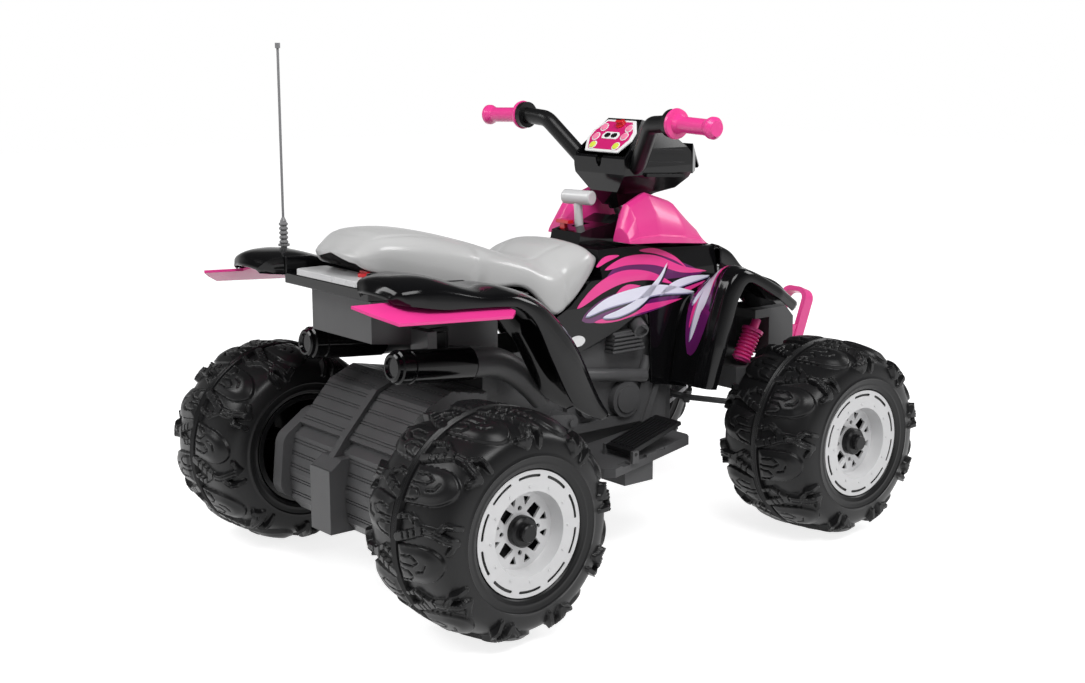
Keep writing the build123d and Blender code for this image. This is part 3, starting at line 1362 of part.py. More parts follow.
# Mufflers: tubes with a stepped, recessed cap
with BuildPart() as muffler:
    with BuildSketch(Plane.XZ):
        with BuildLine():
            Polyline(
                (0, 0), (MUFFLER_R - 3, 0), (MUFFLER_R, 4), (MUFFLER_R, MUFFLER_LENGTH - 30),
                (MUFFLER_R - 2, MUFFLER_LENGTH - 29), (MUFFLER_R - 2, MUFFLER_LENGTH - 26),
                (MUFFLER_R, MUFFLER_LENGTH - 25), (MUFFLER_R, MUFFLER_LENGTH - 9),
                (MUFFLER_R - 3, MUFFLER_LENGTH - 7), (MUFFLER_R - 4, MUFFLER_LENGTH - 2),
                (MUFFLER_R - 7, MUFFLER_LENGTH), (MUFFLER_R - 10, MUFFLER_LENGTH),
                (MUFFLER_R - 12, MUFFLER_LENGTH - 4), (0, MUFFLER_LENGTH - 4),
                close=True,
            )
        make_face()
    revolve(axis=Axis.Z)
muffler_out = (muffler_run * -1).normalized()
for hand, name in ((1, "muffler_left"), (-1, "muffler_right")):
    start = Vector(hand * MUFFLER_X, muffler_front_y, muffler_front_z)
    place = Plane(origin=start, x_dir=(1, 0, 0), z_dir=muffler_out)
    keep(name, muffler.part.moved(place.location))

# Exhaust pipes: bent tubes that lead down from the mufflers
with BuildPart() as exhaust_pipes:
    for hand in (-1, 1):
        x = hand * MUFFLER_X
        route = [(x, muffler_front_y - GAP, muffler_front_z), (x, 246, 333), (x, 196, 300), (x, 168, 262)]
        tube(route, 30, PIPE_R, bore=PIPE_R - PIPE_WALL)
keep("exhaust_pipes", exhaust_pipes.part)

# Footboard: one moulding with a board on each side and a bar under the tub
board_slope = (BOARD_FRONT_Z - BOARD_REAR_Z) / (BOARD_REAR_Y - BOARD_FRONT_Y)


def board_z(y):
    """Height of the footboard's top."""
    return BOARD_REAR_Z + (BOARD_REAR_Y - y) * board_slope


with BuildPart() as footboard:
    for hand in (-1, 1):
        with BuildSketch(Plane.XY.offset(100)) as board:
            with BuildLine():
                Polyline(
                    (hand * BOARD_INNER_X, BOARD_REAR_Y), (hand * (BOARD_HALF - 14), BOARD_REAR_Y),
                    (hand * BOARD_HALF, BOARD_REAR_Y - 12), (hand * (BOARD_HALF - 22), BOARD_FRONT_Y + 6),
                    (hand * (BOARD_HALF - 32), BOARD_FRONT_Y), (hand * BOARD_INNER_X, BOARD_FRONT_Y),
                    close=True,
                )
            make_face()
        extrude(board.sketch, amount=100, dir=(0, 0, 1))
    slab(
        [
            (BOARD_REAR_Y, board_z(BOARD_REAR_Y)),
            (BOARD_REAR_Y, board_z(BOARD_REAR_Y) - BOARD_T),
            (BOARD_FRONT_Y, board_z(BOARD_FRONT_Y) - BOARD_T),
            (BOARD_FRONT_Y, board_z(BOARD_FRONT_Y)),
        ],
        -BOARD_HALF,
        BOARD_HALF,
        mode=Mode.INTERSECT,
    )
    for hand in (-1, 1):
        for y in (60, 20, -24):
            block(
                sorted((hand * (BOARD_HALF - 16), hand * (BOARD_HALF + 4))), (y, y + 18),
                (board_z(y) - 4, board_z(y) + 8), mode=Mode.SUBTRACT,
            )
    block((-BOARD_HALF + 16, BOARD_HALF - 16), (0, 60), (BAR_Z, TUB_Z - GAP))
    for hand in (-1, 1):
        block(sorted((hand * 80, hand * (BOARD_HALF - 16))), (0, 60), (TUB_Z - 2, board_z(60) - 3))
    for shift in (-1, 1):
        ear = PEDAL_X + shift * (PEDAL_WIDTH / 2 + GAP + 3)
        slab(
            [
                (PEDAL_HINGE_Y - 7, board_z(40) - 4),
                (PEDAL_HINGE_Y + 7, board_z(40) - 4),
                (PEDAL_HINGE_Y + 6, PEDAL_HINGE_Z + 5),
                (PEDAL_HINGE_Y - 6, PEDAL_HINGE_Z + 5),
            ],
            ear - 3,
            ear + 3,
        )
    rod(
        (PEDAL_X - 50, PEDAL_HINGE_Y, PEDAL_HINGE_Z), (PEDAL_X + 50, PEDAL_HINGE_Y, PEDAL_HINGE_Z),
        3 + RUN, mode=Mode.SUBTRACT,
    )
keep("footboard", footboard.part)

# Accelerator pedal: a ribbed plate hinged at its heel
def pedal_point(along, above):
    """A point of the pedal's side outline, measured from its hinge."""
    tilt = radians(PEDAL_TILT)
    return (
        PEDAL_HINGE_Y - along * cos(tilt) + above * sin(tilt),
        PEDAL_HINGE_Z + along * sin(tilt) + above * cos(tilt),
    )


pedal_sides = (PEDAL_X - PEDAL_WIDTH / 2, PEDAL_X + PEDAL_WIDTH / 2)
with BuildPart() as accelerator_pedal:
    rod(
        (pedal_sides[0] - 6, PEDAL_HINGE_Y, PEDAL_HINGE_Z),
        (pedal_sides[1] + 6, PEDAL_HINGE_Y, PEDAL_HINGE_Z),
        3,
    )
    slab(
        [pedal_point(-4, -2), pedal_point(-4, 6), pedal_point(PEDAL_LENGTH, 6), pedal_point(PEDAL_LENGTH, 0)],
        *pedal_sides,
    )
    for count in range(PEDAL_RIBS):
        rib = pedal_sides[0] + 4 + count * PEDAL_RIB_PITCH
        slab([pedal_point(4, 5), pedal_point(6, 8), pedal_point(96, 8), pedal_point(98, 5)], rib, rib + 3)
keep("accelerator_pedal", accelerator_pedal.part)

# Antenna: sprung base and thin whip
with BuildPart() as antenna:
    with BuildSketch(Plane.XZ.offset(-ANTENNA_Y)) as whip:
        with BuildLine():
            rings = []
            for turn in range(5):
                low = 492 + turn * 7
                rings += [(5, low), (7, low + 2), (7, low + 4), (5, low + 6)]
            Polyline(
                (0, 466), (5, 466), (5, 489), (9, 489), (9, 492), *rings, (5, ANTENNA_SPRING_TOP_Z + 2),
                (ANTENNA_R, ANTENNA_SPRING_TOP_Z + 8), (ANTENNA_R, ANTENNA_TIP_Z - 8),
                (4, ANTENNA_TIP_Z - 8), (4, ANTENNA_TIP_Z), (0, ANTENNA_TIP_Z),
                close=True,
            )
        make_face()
    revolve(whip.sketch, axis=Axis(origin=(0, ANTENNA_Y, 0), direction=(0, 0, 1)))
keep("antenna", antenna.part.moved(Location((ANTENNA_X, 0, 0))))

for name, part in pieces.items():
    export_step(part, f"parts/{name}.step")
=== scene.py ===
import json
from math import atan2, cos, hypot, pi, radians, sin, tan

import bmesh
import bpy
import numpy as np
from mathutils import Matrix, Vector


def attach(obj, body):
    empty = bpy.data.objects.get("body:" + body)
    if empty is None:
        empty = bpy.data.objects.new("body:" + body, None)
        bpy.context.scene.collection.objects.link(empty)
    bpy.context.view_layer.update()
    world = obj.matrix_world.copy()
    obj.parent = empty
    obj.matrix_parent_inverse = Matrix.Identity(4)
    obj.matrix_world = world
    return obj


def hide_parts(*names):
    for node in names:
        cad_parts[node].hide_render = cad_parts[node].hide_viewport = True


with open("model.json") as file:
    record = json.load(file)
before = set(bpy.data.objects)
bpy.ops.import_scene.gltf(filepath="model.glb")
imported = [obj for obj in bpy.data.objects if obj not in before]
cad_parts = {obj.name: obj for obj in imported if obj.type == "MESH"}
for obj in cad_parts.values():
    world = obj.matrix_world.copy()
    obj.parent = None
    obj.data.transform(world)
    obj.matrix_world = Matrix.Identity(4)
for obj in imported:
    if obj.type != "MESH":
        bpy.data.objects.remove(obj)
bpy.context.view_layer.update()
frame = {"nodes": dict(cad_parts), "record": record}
MM = 0.001

# Camera of the photograph, in millimetres and degrees
CAMERA_PLACE = (-1884.7, 1627.6, 805.8)
CAMERA_YAW = 129.559
CAMERA_PITCH = -11.171
CAMERA_LENS = 50.84

# Colours, linear
PINK = (0.84, 0.045, 0.29)
MAGENTA = (0.62, 0.012, 0.16)
PURPLE = (0.13, 0.012, 0.12)
NAVY = (0.012, 0.008, 0.028)
LILAC = (0.36, 0.34, 0.52)
PALE_LILAC = (0.80, 0.79, 0.92)
WHITE = (0.82, 0.82, 0.82)
TYRE = (0.009, 0.009, 0.0095)
BLACK = (0.004, 0.004, 0.0045)
SATIN_BLACK = (0.008, 0.008, 0.0085)
DARK_GREY = (0.078, 0.078, 0.080)
SEAT_GREY = (0.50, 0.50, 0.497)
SILVER = (0.66, 0.66, 0.665)
RED = (0.62, 0.012, 0.02)
LIME = (0.66, 0.72, 0.06)
BUTTON_PINK = (0.85, 0.22, 0.38)
STEEL = (0.42, 0.42, 0.43)


# Materials
def new_node(tree, kind, **inputs):
    """Add a shader node and set some of its inputs by name."""
    node = tree.nodes.new(kind)
    for key, value in inputs.items():
        node.inputs[key.replace("_", " ")].default_value = value
    return node


def tinted(colour, factor):
    """A colour made lighter or darker, with its alpha."""
    return (*[min(1.0, c * factor) for c in colour], 1.0)


def noise(tree, coords, scale, detail=3.0):
    """Noise over the object's own coordinates."""
    node = new_node(tree, "ShaderNodeTexNoise", Scale=scale, Detail=detail)
    tree.links.new(coords, node.inputs["Vector"])
    return node.outputs["Fac"]


def ramp(tree, factor, stops):
    """A colour ramp through (position, colour) stops."""
    node = tree.nodes.new("ShaderNodeValToRGB")
    elements = node.color_ramp.elements
    while len(elements) < len(stops):
        elements.new(0.5)
    for element, (position, colour) in zip(elements, stops):
        element.position = position
        element.color = colour
    tree.links.new(factor, node.inputs["Fac"])
    return node.outputs["Color"]


def finish(name, colour, rough, spread=0.05, grain=700.0, depth=0.05, edge=0.8, coat=0.0, metal=0.0,
           specular=0.5, sheen=0.0, streak=None, painted_shade_at=None):
    """A moulded finish: uneven colour and gloss, a fine grain, and softened edges."""
    material = bpy.data.materials.new(name)
    material.use_nodes = True
    tree = material.node_tree
    shader = tree.nodes["Principled BSDF"]
    coords = tree.nodes.new("ShaderNodeTexCoord").outputs["Object"]
    blotches = noise(tree, coords, 11.0)
    colours = ramp(tree, blotches, [(0.32, tinted(colour, 1 - spread)), (0.68, tinted(colour, 1 + spread))])
    # for rims, painted shade: black mixed into the colour behind the spokes and in the ring's slots
    if painted_shade_at:
        colours = paint_shade_inside(tree, coords, colours, *painted_shade_at)
    tree.links.new(colours, shader.inputs["Base Color"])
    gloss = tree.nodes.new("ShaderNodeMapRange")
    gloss.inputs["To Min"].default_value = rough * 0.9
    gloss.inputs["To Max"].default_value = min(1.0, rough * 1.1)
    tree.links.new(noise(tree, coords, 34.0, 5.0), gloss.inputs["Value"])
    tree.links.new(gloss.outputs["Result"], shader.inputs["Roughness"])
    source = coords
    if streak:
        mapping = tree.nodes.new("ShaderNodeMapping")
        mapping.inputs["Scale"].default_value = streak
        tree.links.new(coords, mapping.inputs["Vector"])
        source = mapping.outputs["Vector"]
    bump = new_node(tree, "ShaderNodeBump", Strength=depth, Distance=0.0006)
    tree.links.new(noise(tree, source, grain, 2.0), bump.inputs["Height"])
    if edge:
        soft = tree.nodes.new("ShaderNodeBevel")
        soft.samples = 4
        soft.inputs["Radius"].default_value = edge * MM
        tree.links.new(soft.outputs["Normal"], bump.inputs["Normal"])
    tree.links.new(bump.outputs["Normal"], shader.inputs["Normal"])
    shader.inputs["Metallic"].default_value = metal
    shader.inputs["Coat Weight"].default_value = coat
    shader.inputs["Coat Roughness"].default_value = 0.06
    shader.inputs["Specular IOR Level"].default_value = specular
    shader.inputs["Sheen Weight"].default_value = sheen
    return material


def calculate(tree, operation, first, second):
    """A maths node on two values, each a socket or a number."""
    node = tree.nodes.new("ShaderNodeMath")
    node.operation = operation
    for socket, value in zip(node.inputs, (first, second)):
        if isinstance(value, (int, float)):
            socket.default_value = value
        else:
            tree.links.new(value, socket)
    return node.outputs[0]


def paint_shade_inside(tree, coords, colours, half_track, axle_y):
    """Painted shade on a rim: black mixed in behind its spokes and in the slots of its outer ring."""
    split = tree.nodes.new("ShaderNodeSeparateXYZ")
    tree.links.new(coords, split.inputs["Vector"])
    reach = calculate(tree, "ABSOLUTE", split.outputs["X"], 0)
    back = calculate(tree, "SUBTRACT", split.outputs["Y"], axle_y * MM)
    up = calculate(tree, "SUBTRACT", split.outputs["Z"], WHEEL_R * MM)
    radius = calculate(tree, "SQRT", calculate(
        tree, "ADD", calculate(tree, "MULTIPLY", back, back), calculate(tree, "MULTIPLY", up, up)), 0)
    behind_spokes = calculate(tree, "LESS_THAN", reach, (half_track + SPOKE_FACE) * MM)
    in_ring = calculate(tree, "GREATER_THAN", radius, RING_R * MM)
    in_slot = calculate(tree, "LESS_THAN", reach, (half_track + RING_FACE - 1.2) * MM)
    # painted shade: black where the rim lies behind the spokes or in a slot of the outer ring
    dark = calculate(tree, "MAXIMUM", behind_spokes, calculate(tree, "MULTIPLY", in_ring, in_slot))
    mix = tree.nodes.new("ShaderNodeMix")
    mix.data_type = "RGBA"
    tree.links.new(dark, mix.inputs["Factor"])
    tree.links.new(colours, mix.inputs[6])
    mix.inputs[7].default_value = (*BLACK, 1.0)
    return mix.outputs[2]


# Wheels: half tracks, axle places and how far a rim's faces lie out from its tyre's middle
WHEEL_R = 160
FRONT_HALF_TRACK, FRONT_AXLE_Y = 264, -310
REAR_HALF_TRACK, REAR_AXLE_Y = 284, 400
SPOKE_FACE = 62
RING_FACE = 88.3
RING_R = 77
FINISHES = {
    "tyre_black": finish("tyre_rubbery_black", TYRE, 0.34, spread=0.14, depth=0.06, edge=0, specular=0.28),
    "rim_silver": finish("rim_silver_paint", SILVER, 0.34, spread=0.03, grain=1500, depth=0.04, metal=0.25),
    "satin_black": finish("satin_black_plastic", SATIN_BLACK, 0.33, spread=0.1, depth=0.12, specular=0.25),
    "gloss_black": finish("gloss_black_plastic", BLACK, 0.12, spread=0.08, depth=0.012, coat=0.12, specular=0.22),
    "pink": finish("gloss_pink_plastic", PINK, 0.30, spread=0.008, depth=0.006, coat=0.15),
    "panel_magenta": finish("printed_magenta", MAGENTA, 0.22, spread=0.05, coat=0.6),
    "dark_grey": finish("moulded_dark_grey", DARK_GREY, 0.38, spread=0.08, depth=0.16, specular=0.3),
    "battery_black": finish("battery_case", SATIN_BLACK, 0.5, depth=0.2),
    "antenna_metal": finish("antenna_grey", (0.20, 0.20, 0.205), 0.35, depth=0.1, streak=(1, 1, 0.05)),
    "steel": finish("brushed_steel", STEEL, 0.34, grain=400, depth=0.25, metal=1.0, streak=(0.08, 1, 1)),
    "light_grey": finish("light_grey_plastic", (0.60, 0.60, 0.605), 0.28, spread=0.03, depth=0.03, coat=0.2),
    "seat_grey": finish("pearl_seat", SEAT_GREY, 0.30, spread=0.015, grain=900, depth=0.03, coat=0.2, edge=0),
    "red": finish("gloss_red", RED, 0.24, coat=0.3),
    "button_lime": finish("button_lime_rubber", LIME, 0.35),
    "button_pink": finish("button_pink_rubber", BUTTON_PINK, 0.35),
}
# Silver rim paint with painted shade: black behind the spokes and in the slots of the outer ring
RIMS = {
    name: finish(f"{name}_rim_paint_painted_shade", SILVER, 0.36, 0.02, 1500, 0.03, metal=0.1, painted_shade_at=place)
    for name, place in (
        ("front", (FRONT_HALF_TRACK, FRONT_AXLE_Y)), ("rear", (REAR_HALF_TRACK, REAR_AXLE_Y)),
    )
}
DECOR_PINK = finish("decor_pink", PINK, 0.2, 0.02, depth=0.01, edge=0, coat=0.3)
DECOR_WHITE = finish("decor_white", PALE_LILAC, 0.2, 0.01, depth=0.01, edge=0, coat=0.3)
DECOR_LILAC = finish("decor_lilac", LILAC, 0.2, 0.02, depth=0.01, edge=0, coat=0.3)
DECOR_NAVY = finish("decor_navy", NAVY, 0.15, 0.05, depth=0.01, edge=0, coat=0.3)
DECOR_PURPLE = finish("decor_purple", PURPLE, 0.15, 0.2, depth=0.01, edge=0, coat=0.3)
PLAIN_WHITE = finish("plain_white_plastic", WHITE, 0.25, 0.02, depth=0.02, coat=0.2)

for part in frame["record"]["subparts"]:
    node = frame["nodes"][part["node"]]
    look = FINISHES[part["material_slot"]]
    if part["node"].startswith("rim_"):
        look = RIMS[part["node"].split("_")[1]]
    node.data.materials.clear()
    node.data.materials.append(look)


# Mesh helpers
def add_piece(name, body, material, mesh, nodes=()):
    """Link a mesh as a piece of a body, standing for some CAD nodes."""
    piece = bpy.data.objects.new(name, mesh)
    bpy.context.scene.collection.objects.link(piece)
    if not mesh.materials:
        mesh.materials.append(material)
    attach(piece, body)
    if nodes:
        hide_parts(*nodes)
    return piece


def mesh_from(name, points, faces, angle=40):
    """A smooth mesh from points in millimetres, with edges sharper than an angle kept hard."""
    mesh = bpy.data.meshes.new(name)
    mesh.from_pydata([tuple(c * MM for c in p) for p in points], [], faces)
    keep_hard(mesh, angle)
    return mesh


def keep_hard(mesh, angle):
    """Smooth all faces, but leave edges over the angle sharp."""
    bm = bmesh.new()
    bm.from_mesh(mesh)
    bmesh.ops.recalc_face_normals(bm, faces=bm.faces)
    for face in bm.faces:
        face.smooth = True
    for edge in bm.edges:
        if len(edge.link_faces) == 2:
            edge.smooth = edge.calc_face_angle() < radians(angle)
    bm.to_mesh(mesh)
    bm.free()


def grid_faces(rows, columns, wrap_rows=False, wrap_columns=False):
    """Quads over a grid of points that are listed row by row."""
    faces = []
    for i in range(rows if wrap_rows else rows - 1):
        for j in range(columns if wrap_columns else columns - 1):
            a, b = i * columns, (i + 1) % rows * columns
            k = (j + 1) % columns
            faces.append((a + j, a + k, b + k, b + j))
    return faces


def thicken(piece, wall):
    """Give a sheet a wall on its inner side."""
    solid = piece.modifiers.new("wall", "SOLIDIFY")
    solid.thickness = wall * MM
    solid.offset = -1
    solid.use_even_offset = True
    return solid


def curve_through(points, count):
    """Evenly spaced points on a smooth curve through the given ones."""
    points = np.array(points, float)
    chord = np.r_[0, np.cumsum(np.sqrt(np.linalg.norm(np.diff(points, axis=0), axis=1)))]
    slope = np.zeros_like(points)
    slope[1:-1] = (points[2:] - points[:-2]) / (chord[2:] - chord[:-2])[:, None]
    slope[0] = (points[1] - points[0]) / (chord[1] - chord[0])
    slope[-1] = (points[-1] - points[-2]) / (chord[-1] - chord[-2])
    fine = []
    for i in range(len(points) - 1):
        span = chord[i + 1] - chord[i]
        for t in np.linspace(0, 1, 24, endpoint=False):
            fine.append(
                (2 * t**3 - 3 * t**2 + 1) * points[i] + (t**3 - 2 * t**2 + t) * span * slope[i]
                + (3 * t**2 - 2 * t**3) * points[i + 1] + (t**3 - t**2) * span * slope[i + 1]
            )
    fine = np.array(fine + [points[-1]])
    length = np.r_[0, np.cumsum(np.linalg.norm(np.diff(fine, axis=0), axis=1))]
    at = np.linspace(0, length[-1], count)
    return np.stack([np.interp(at, length, fine[:, k]) for k in range(points.shape[1])], 1)


def step_between(low, high, value):
    """Smooth rise from 0 to 1."""
    t = np.clip((value - low) / (high - low), 0, 1)
    return t * t * (3 - 2 * t)


def line_distance(a, b, route):
    """Distance from grid points to a polyline."""
    best = np.full(np.shape(a), 1e9)
    for (a0, b0), (a1, b1) in zip(route, route[1:]):
        run = (a1 - a0, b1 - b0)
        t = np.clip(((a - a0) * run[0] + (b - b0) * run[1]) / (run[0] ** 2 + run[1] ** 2), 0, 1)
        best = np.minimum(best, np.hypot(a - a0 - t * run[0], b - b0 - t * run[1]))
    return best


# Tyres: a carcass whose tread is raised in tongues, ribs and hooks
UNITS = 9
UNIT_COLUMNS = 76
TREAD_R = 153.0
UNIT = 2 * pi * TREAD_R / UNITS
TONGUE_A = 30.0
TONGUE_HALF = 27.0
CARCASS = [(0, 153), (32, 151.3), (64, 146), (86, 134), (94, 112), (92.5, 100), (90.5, 92), (87.5, 88.8)]
RIB_ROUTES = [
    ([(66, 7), (74, 30), (84, 52), (84, 74), (74, 100)], 6.0),
    ([(84, 74), (98, 86), (98, 104)], 4.2),
    ([(92, 7), (98, 26), (84, 52)], 3.6),
    ([(58, 92), (74, 100)], 3.8),
]
TONGUE_CUTS = [
    [(10, 12), (13, 30), (20, 38), (27, 30), (26, 12)],
    [(34, 12), (35, 40), (42, 50), (48, 40), (45, 18)],
    [(28, 46), (31, 58), (40, 62)],
]
RIB_SLASHES = (18, 30, 42, 58)


def tread_height(a, s):
    """Height of the tread over the carcass, at a distance round the tyre and across it."""
    height = np.zeros(np.broadcast(a, s).shape)
    outer = 3.5 * step_between(48, 74, s) * (1 - step_between(94, 108, s))
    for shift in (-UNIT, 0, UNIT):
        b = a + shift
        reach = np.hypot(np.abs(b - TONGUE_A - 0.12 * s) / TONGUE_HALF, np.maximum(0, s - 50) / 38)
        inside = np.minimum((1 - reach) * TONGUE_HALF, s - 7.5)
        tongue = 4.8 * step_between(0, 1.6, inside) + 3.6 * step_between(1, 14, inside)
        for route in TONGUE_CUTS:
            tongue -= 2.6 * (1 - step_between(0.7, 1.7, line_distance(b, s, route))) * (inside > 0)
        height = np.maximum(height, tongue)
        for route, half in RIB_ROUTES:
            away = line_distance(b, s, route)
            rib = (6.2 + outer) * (1 - step_between(half - 0.6, half + 0.9, away))
            rib -= 1.6 * (1 - step_between(0.8, 1.6, np.abs(away - 0.45 * half))) * (rib > 2) * (s > 60)
            for slash in RIB_SLASHES:
                rib *= 1 - 0.75 * (1 - step_between(0.8, 1.7, np.abs(s - slash + 0.3 * (b - 76))))
            height = np.maximum(height, rib)
    seam = 5.2 * (1 - step_between(6.2, 7.2, s)) + 0.9 * np.cos(s * 2 * pi / 3.1) * (s < 6.2)
    rings = 1.3 * (1 - step_between(0.4, 1.6, np.abs(s - 117))) + 1.0 * (1 - step_between(0.4, 1.4, np.abs(s - 129)))
    return np.maximum(height, seam) * (s < 112) + rings


def tyre_mesh():
    """One tyre about its own middle, with its axis along X."""
    profile = curve_through(CARCASS, 400)
    lengths = np.r_[0, np.cumsum(np.linalg.norm(np.diff(profile, axis=0), axis=1))]
    stations = np.r_[np.arange(0, 8, 0.75), np.arange(8, 113, 1.35), np.arange(113, lengths[-1], 1.5), lengths[-1]]
    u = np.interp(stations, lengths, profile[:, 0])
    r = np.interp(stations, lengths, profile[:, 1])
    slope_u, slope_r = np.gradient(u, stations), np.gradient(r, stations)
    columns = UNITS * UNIT_COLUMNS
    round_way = np.arange(columns) / columns * 2 * pi
    rows = []
    for hand in (-1, 1):
        along = np.mod((round_way - pi) * TREAD_R + TONGUE_A + (0.5 * UNIT if hand < 0 else 0), UNIT)
        height = tread_height(along[None, :], stations[:, None])
        rise_r = slope_u[:, None] * height
        rise_u = -slope_r[:, None] * height
        ring_r = np.minimum(r[:, None] + rise_r, WHEEL_R)
        ring_u = np.minimum(u[:, None] + rise_u, 96.5) * hand
        half = [
            np.stack([ring_u[i], ring_r[i] * np.sin(round_way), ring_r[i] * np.cos(round_way)], 1)
            for i in range(len(stations))
        ]
        rows += list(reversed(half))[:-1] if hand < 0 else half
    inner = [(83, 89), (70, 92), (0, 92), (-70, 92), (-83, 89)]
    for x, radius in inner:
        rows.append(np.stack([np.full(columns, float(x)), radius * np.sin(round_way), radius * np.cos(round_way)], 1))
    return mesh_from("tyre", np.concatenate(rows), grid_faces(len(rows), columns, True, True), angle=60)


WHEELS = {
    "rear_left": ("wheel_rl", REAR_HALF_TRACK, REAR_AXLE_Y, 1),
    "rear_right": ("wheel_rr", -REAR_HALF_TRACK, REAR_AXLE_Y, -1),
    "front_left": ("wheel_fl", FRONT_HALF_TRACK, FRONT_AXLE_Y, 1),
    "front_right": ("wheel_fr", -FRONT_HALF_TRACK, FRONT_AXLE_Y, -1),
}
tyre = tyre_mesh()
for corner, (body, x, y, hand) in WHEELS.items():
    piece = bpy.data.objects.new(f"treaded_tyre_{corner}", tyre)
    bpy.context.scene.collection.objects.link(piece)
    if not tyre.materials:
        tyre.materials.append(FINISHES["tyre_black"])
    turn = Matrix.Rotation(0 if hand > 0 else pi, 4, "Z")
    piece.matrix_world = Matrix.Translation(Vector((x, y, WHEEL_R)) * MM) @ turn
    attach(piece, body)
    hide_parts(f"tyre_{corner}")

# A satin black disc behind each rim's spokes: a dark sheet put in for painted shade in the hollow wheel, seen through
# its rim
BACK_X = SPOKE_FACE - 5
BACK_RINGS = [(14, 0), (30, 0), (34, -3), (60, -3), (64, 0), (76, 0)]
back_turns = np.linspace(0, 2 * pi, 48, endpoint=False)
for corner, (body, x, y, hand) in WHEELS.items():
    back_points = [
        (x + hand * (BACK_X + sink), y + radius * sin(t), WHEEL_R + radius * cos(t))
        for radius, sink in BACK_RINGS for t in back_turns
    ]
    shade_disc_mesh = mesh_from(f"wheel_shade_disc_{corner}", back_points, grid_faces(len(BACK_RINGS), 48, False, True))
    back = add_piece(f"wheel_shade_disc_{corner}", body, FINISHES["satin_black"], shade_disc_mesh)
    thicken(back, 1.5)

# Seat: a moulded saddle with sunk seam lines
SEAT = [
    (30, 80, 450, 476), (57, 96, 436, 492), (98, 104, 404, 487), (134, 105, 389, 471), (187, 101, 434, 484),
    (254, 102, 442, 507), (346, 97, 453, 530), (416, 80, 474, 534), (448, 62, 484, 518), (458, 54, 492, 508),
]
SEAT_ROWS = 120
SEAT_COLUMNS = 81


def seat_mesh():
    """Rounded arches along the saddle, closed at both ends, with grooves for its seams."""
    stations = curve_through(SEAT, SEAT_ROWS)
    rows = []
    for y, half, low, top in stations:
        mid = low + (top - low) * 0.62
        shoulder = top - 0.13 * (top - low)
        arch = [
            (half - 3, low), (half + 2, low + 6), (half + 2, mid), (half * 0.80, shoulder), (half * 0.38, top - 1.5), (0, top),
            (-half * 0.38, top - 1.5), (-half * 0.80, shoulder), (-half - 2, mid), (-half - 2, low + 6), (-half + 3, low),
        ]
        line = curve_through(arch, SEAT_COLUMNS)
        across = np.linspace(-1, 1, SEAT_COLUMNS)
        depth = seat_groove(y, np.abs(across))
        towards = np.stack([-line[:, 0], (low + top) / 2 - line[:, 1]], 1)
        towards /= np.maximum(np.linalg.norm(towards, axis=1), 1e-6)[:, None]
        line = line + towards * depth[:, None]
        rows.append(np.stack([line[:, 0], np.full(SEAT_COLUMNS, y), line[:, 1]], 1))
    return np.array(rows)


def seat_groove(y, across):
    """Depth of the seam lines at a station, where across runs from the crown at 0 to an edge at 1."""
    side_line = 2.6 * np.exp(-((across - 0.40 - 0.08 * step_between(330, 440, y)) / 0.022) ** 2)
    side_line *= step_between(196, 214, y) * (1 - step_between(428, 440, y))
    rear_line = 2.2 * np.exp(-((y - 432) / 3.2) ** 2) * (across < 0.47)
    nose_line = 2.4 * np.exp(-((across - 0.36 + 0.1 * step_between(60, 150, y)) / 0.024) ** 2)
    nose_line *= step_between(62, 74, y) * (1 - step_between(150, 170, y))
    nose_end = 2.2 * np.exp(-((y - 70 - 12 * across) / 3.0) ** 2) * (across < 0.34)
    waist = 1.2 * np.exp(-((y - 160 + 30 * across) / 5.0) ** 2) * (across < 0.30)
    crease = 3.2 * np.exp(-((y - 268 - 26 * (across - 0.5)) / 9.0) ** 2) * step_between(0.44, 0.62, across)
    skirt = 1.3 * np.exp(-((y - 118 + 20 * (across - 0.5)) / 3.0) ** 2) * step_between(0.5, 0.6, across)
    return side_line + rear_line + nose_line + nose_end + waist + crease + skirt


def close_ends(rows, reach):
    """Round both ends of a stack of arches by shrinking copies of its end rows."""
    parts = []
    for end, way in ((rows[0], -1), (rows[-1], 1)):
        middle = end.mean(axis=0)
        caps = []
        for turn in (0.35, 0.6, 0.8, 0.93, 1.0):
            scale = cos(turn * pi / 2)
            ring = middle + (end - middle) * max(scale, 0.02)
            ring[:, 1] = end[:, 1] + way * reach * sin(turn * pi / 2)
            ring[:, 2] = np.minimum(ring[:, 2], end[:, 2].max())
            caps.append(ring)
        parts.append(caps)
    return [*reversed(parts[0]), *rows, *parts[1]]


seat_rows = close_ends(seat_mesh(), 9)
seat_points = np.concatenate(seat_rows)
seat_body = mesh_from("saddle", seat_points, grid_faces(len(seat_rows), SEAT_COLUMNS), angle=75)
seat = add_piece("moulded_saddle", "saddle", FINISHES["seat_grey"], seat_body, ["seat"])
thicken(seat, 4)


# Fenders: sheets swept along an arch, rounded over into a lip
def sweep_sheet(top, lip, inner, outer, profile, rows=90, inner_top=None):
    """Points of a sheet: each station has a top point, a lip point and limits across the car."""
    top = curve_through(top, rows)
    inner_path = curve_through(inner_top, rows) if inner_top else top
    lip = curve_through(lip, rows)
    run = np.gradient(top, axis=0)
    normal = np.stack([-run[:, 1], run[:, 0]], 1)
    normal /= np.linalg.norm(normal, axis=1)[:, None]
    share = np.linspace(0, 1, rows)
    low_x = np.interp(share, *zip(*inner))
    high_x = np.interp(share, *zip(*outer))
    points = np.zeros((rows, len(profile), 3))
    for j, (across, towards_lip, rise) in enumerate(profile):
        points[:, j, 0] = low_x + across * (high_x - low_x)
        ridge = inner_path + step_between(0, 0.62, across) * (top - inner_path)
        points[:, j, 1:] = ridge + towards_lip * (lip - top) + rise * normal
    return points


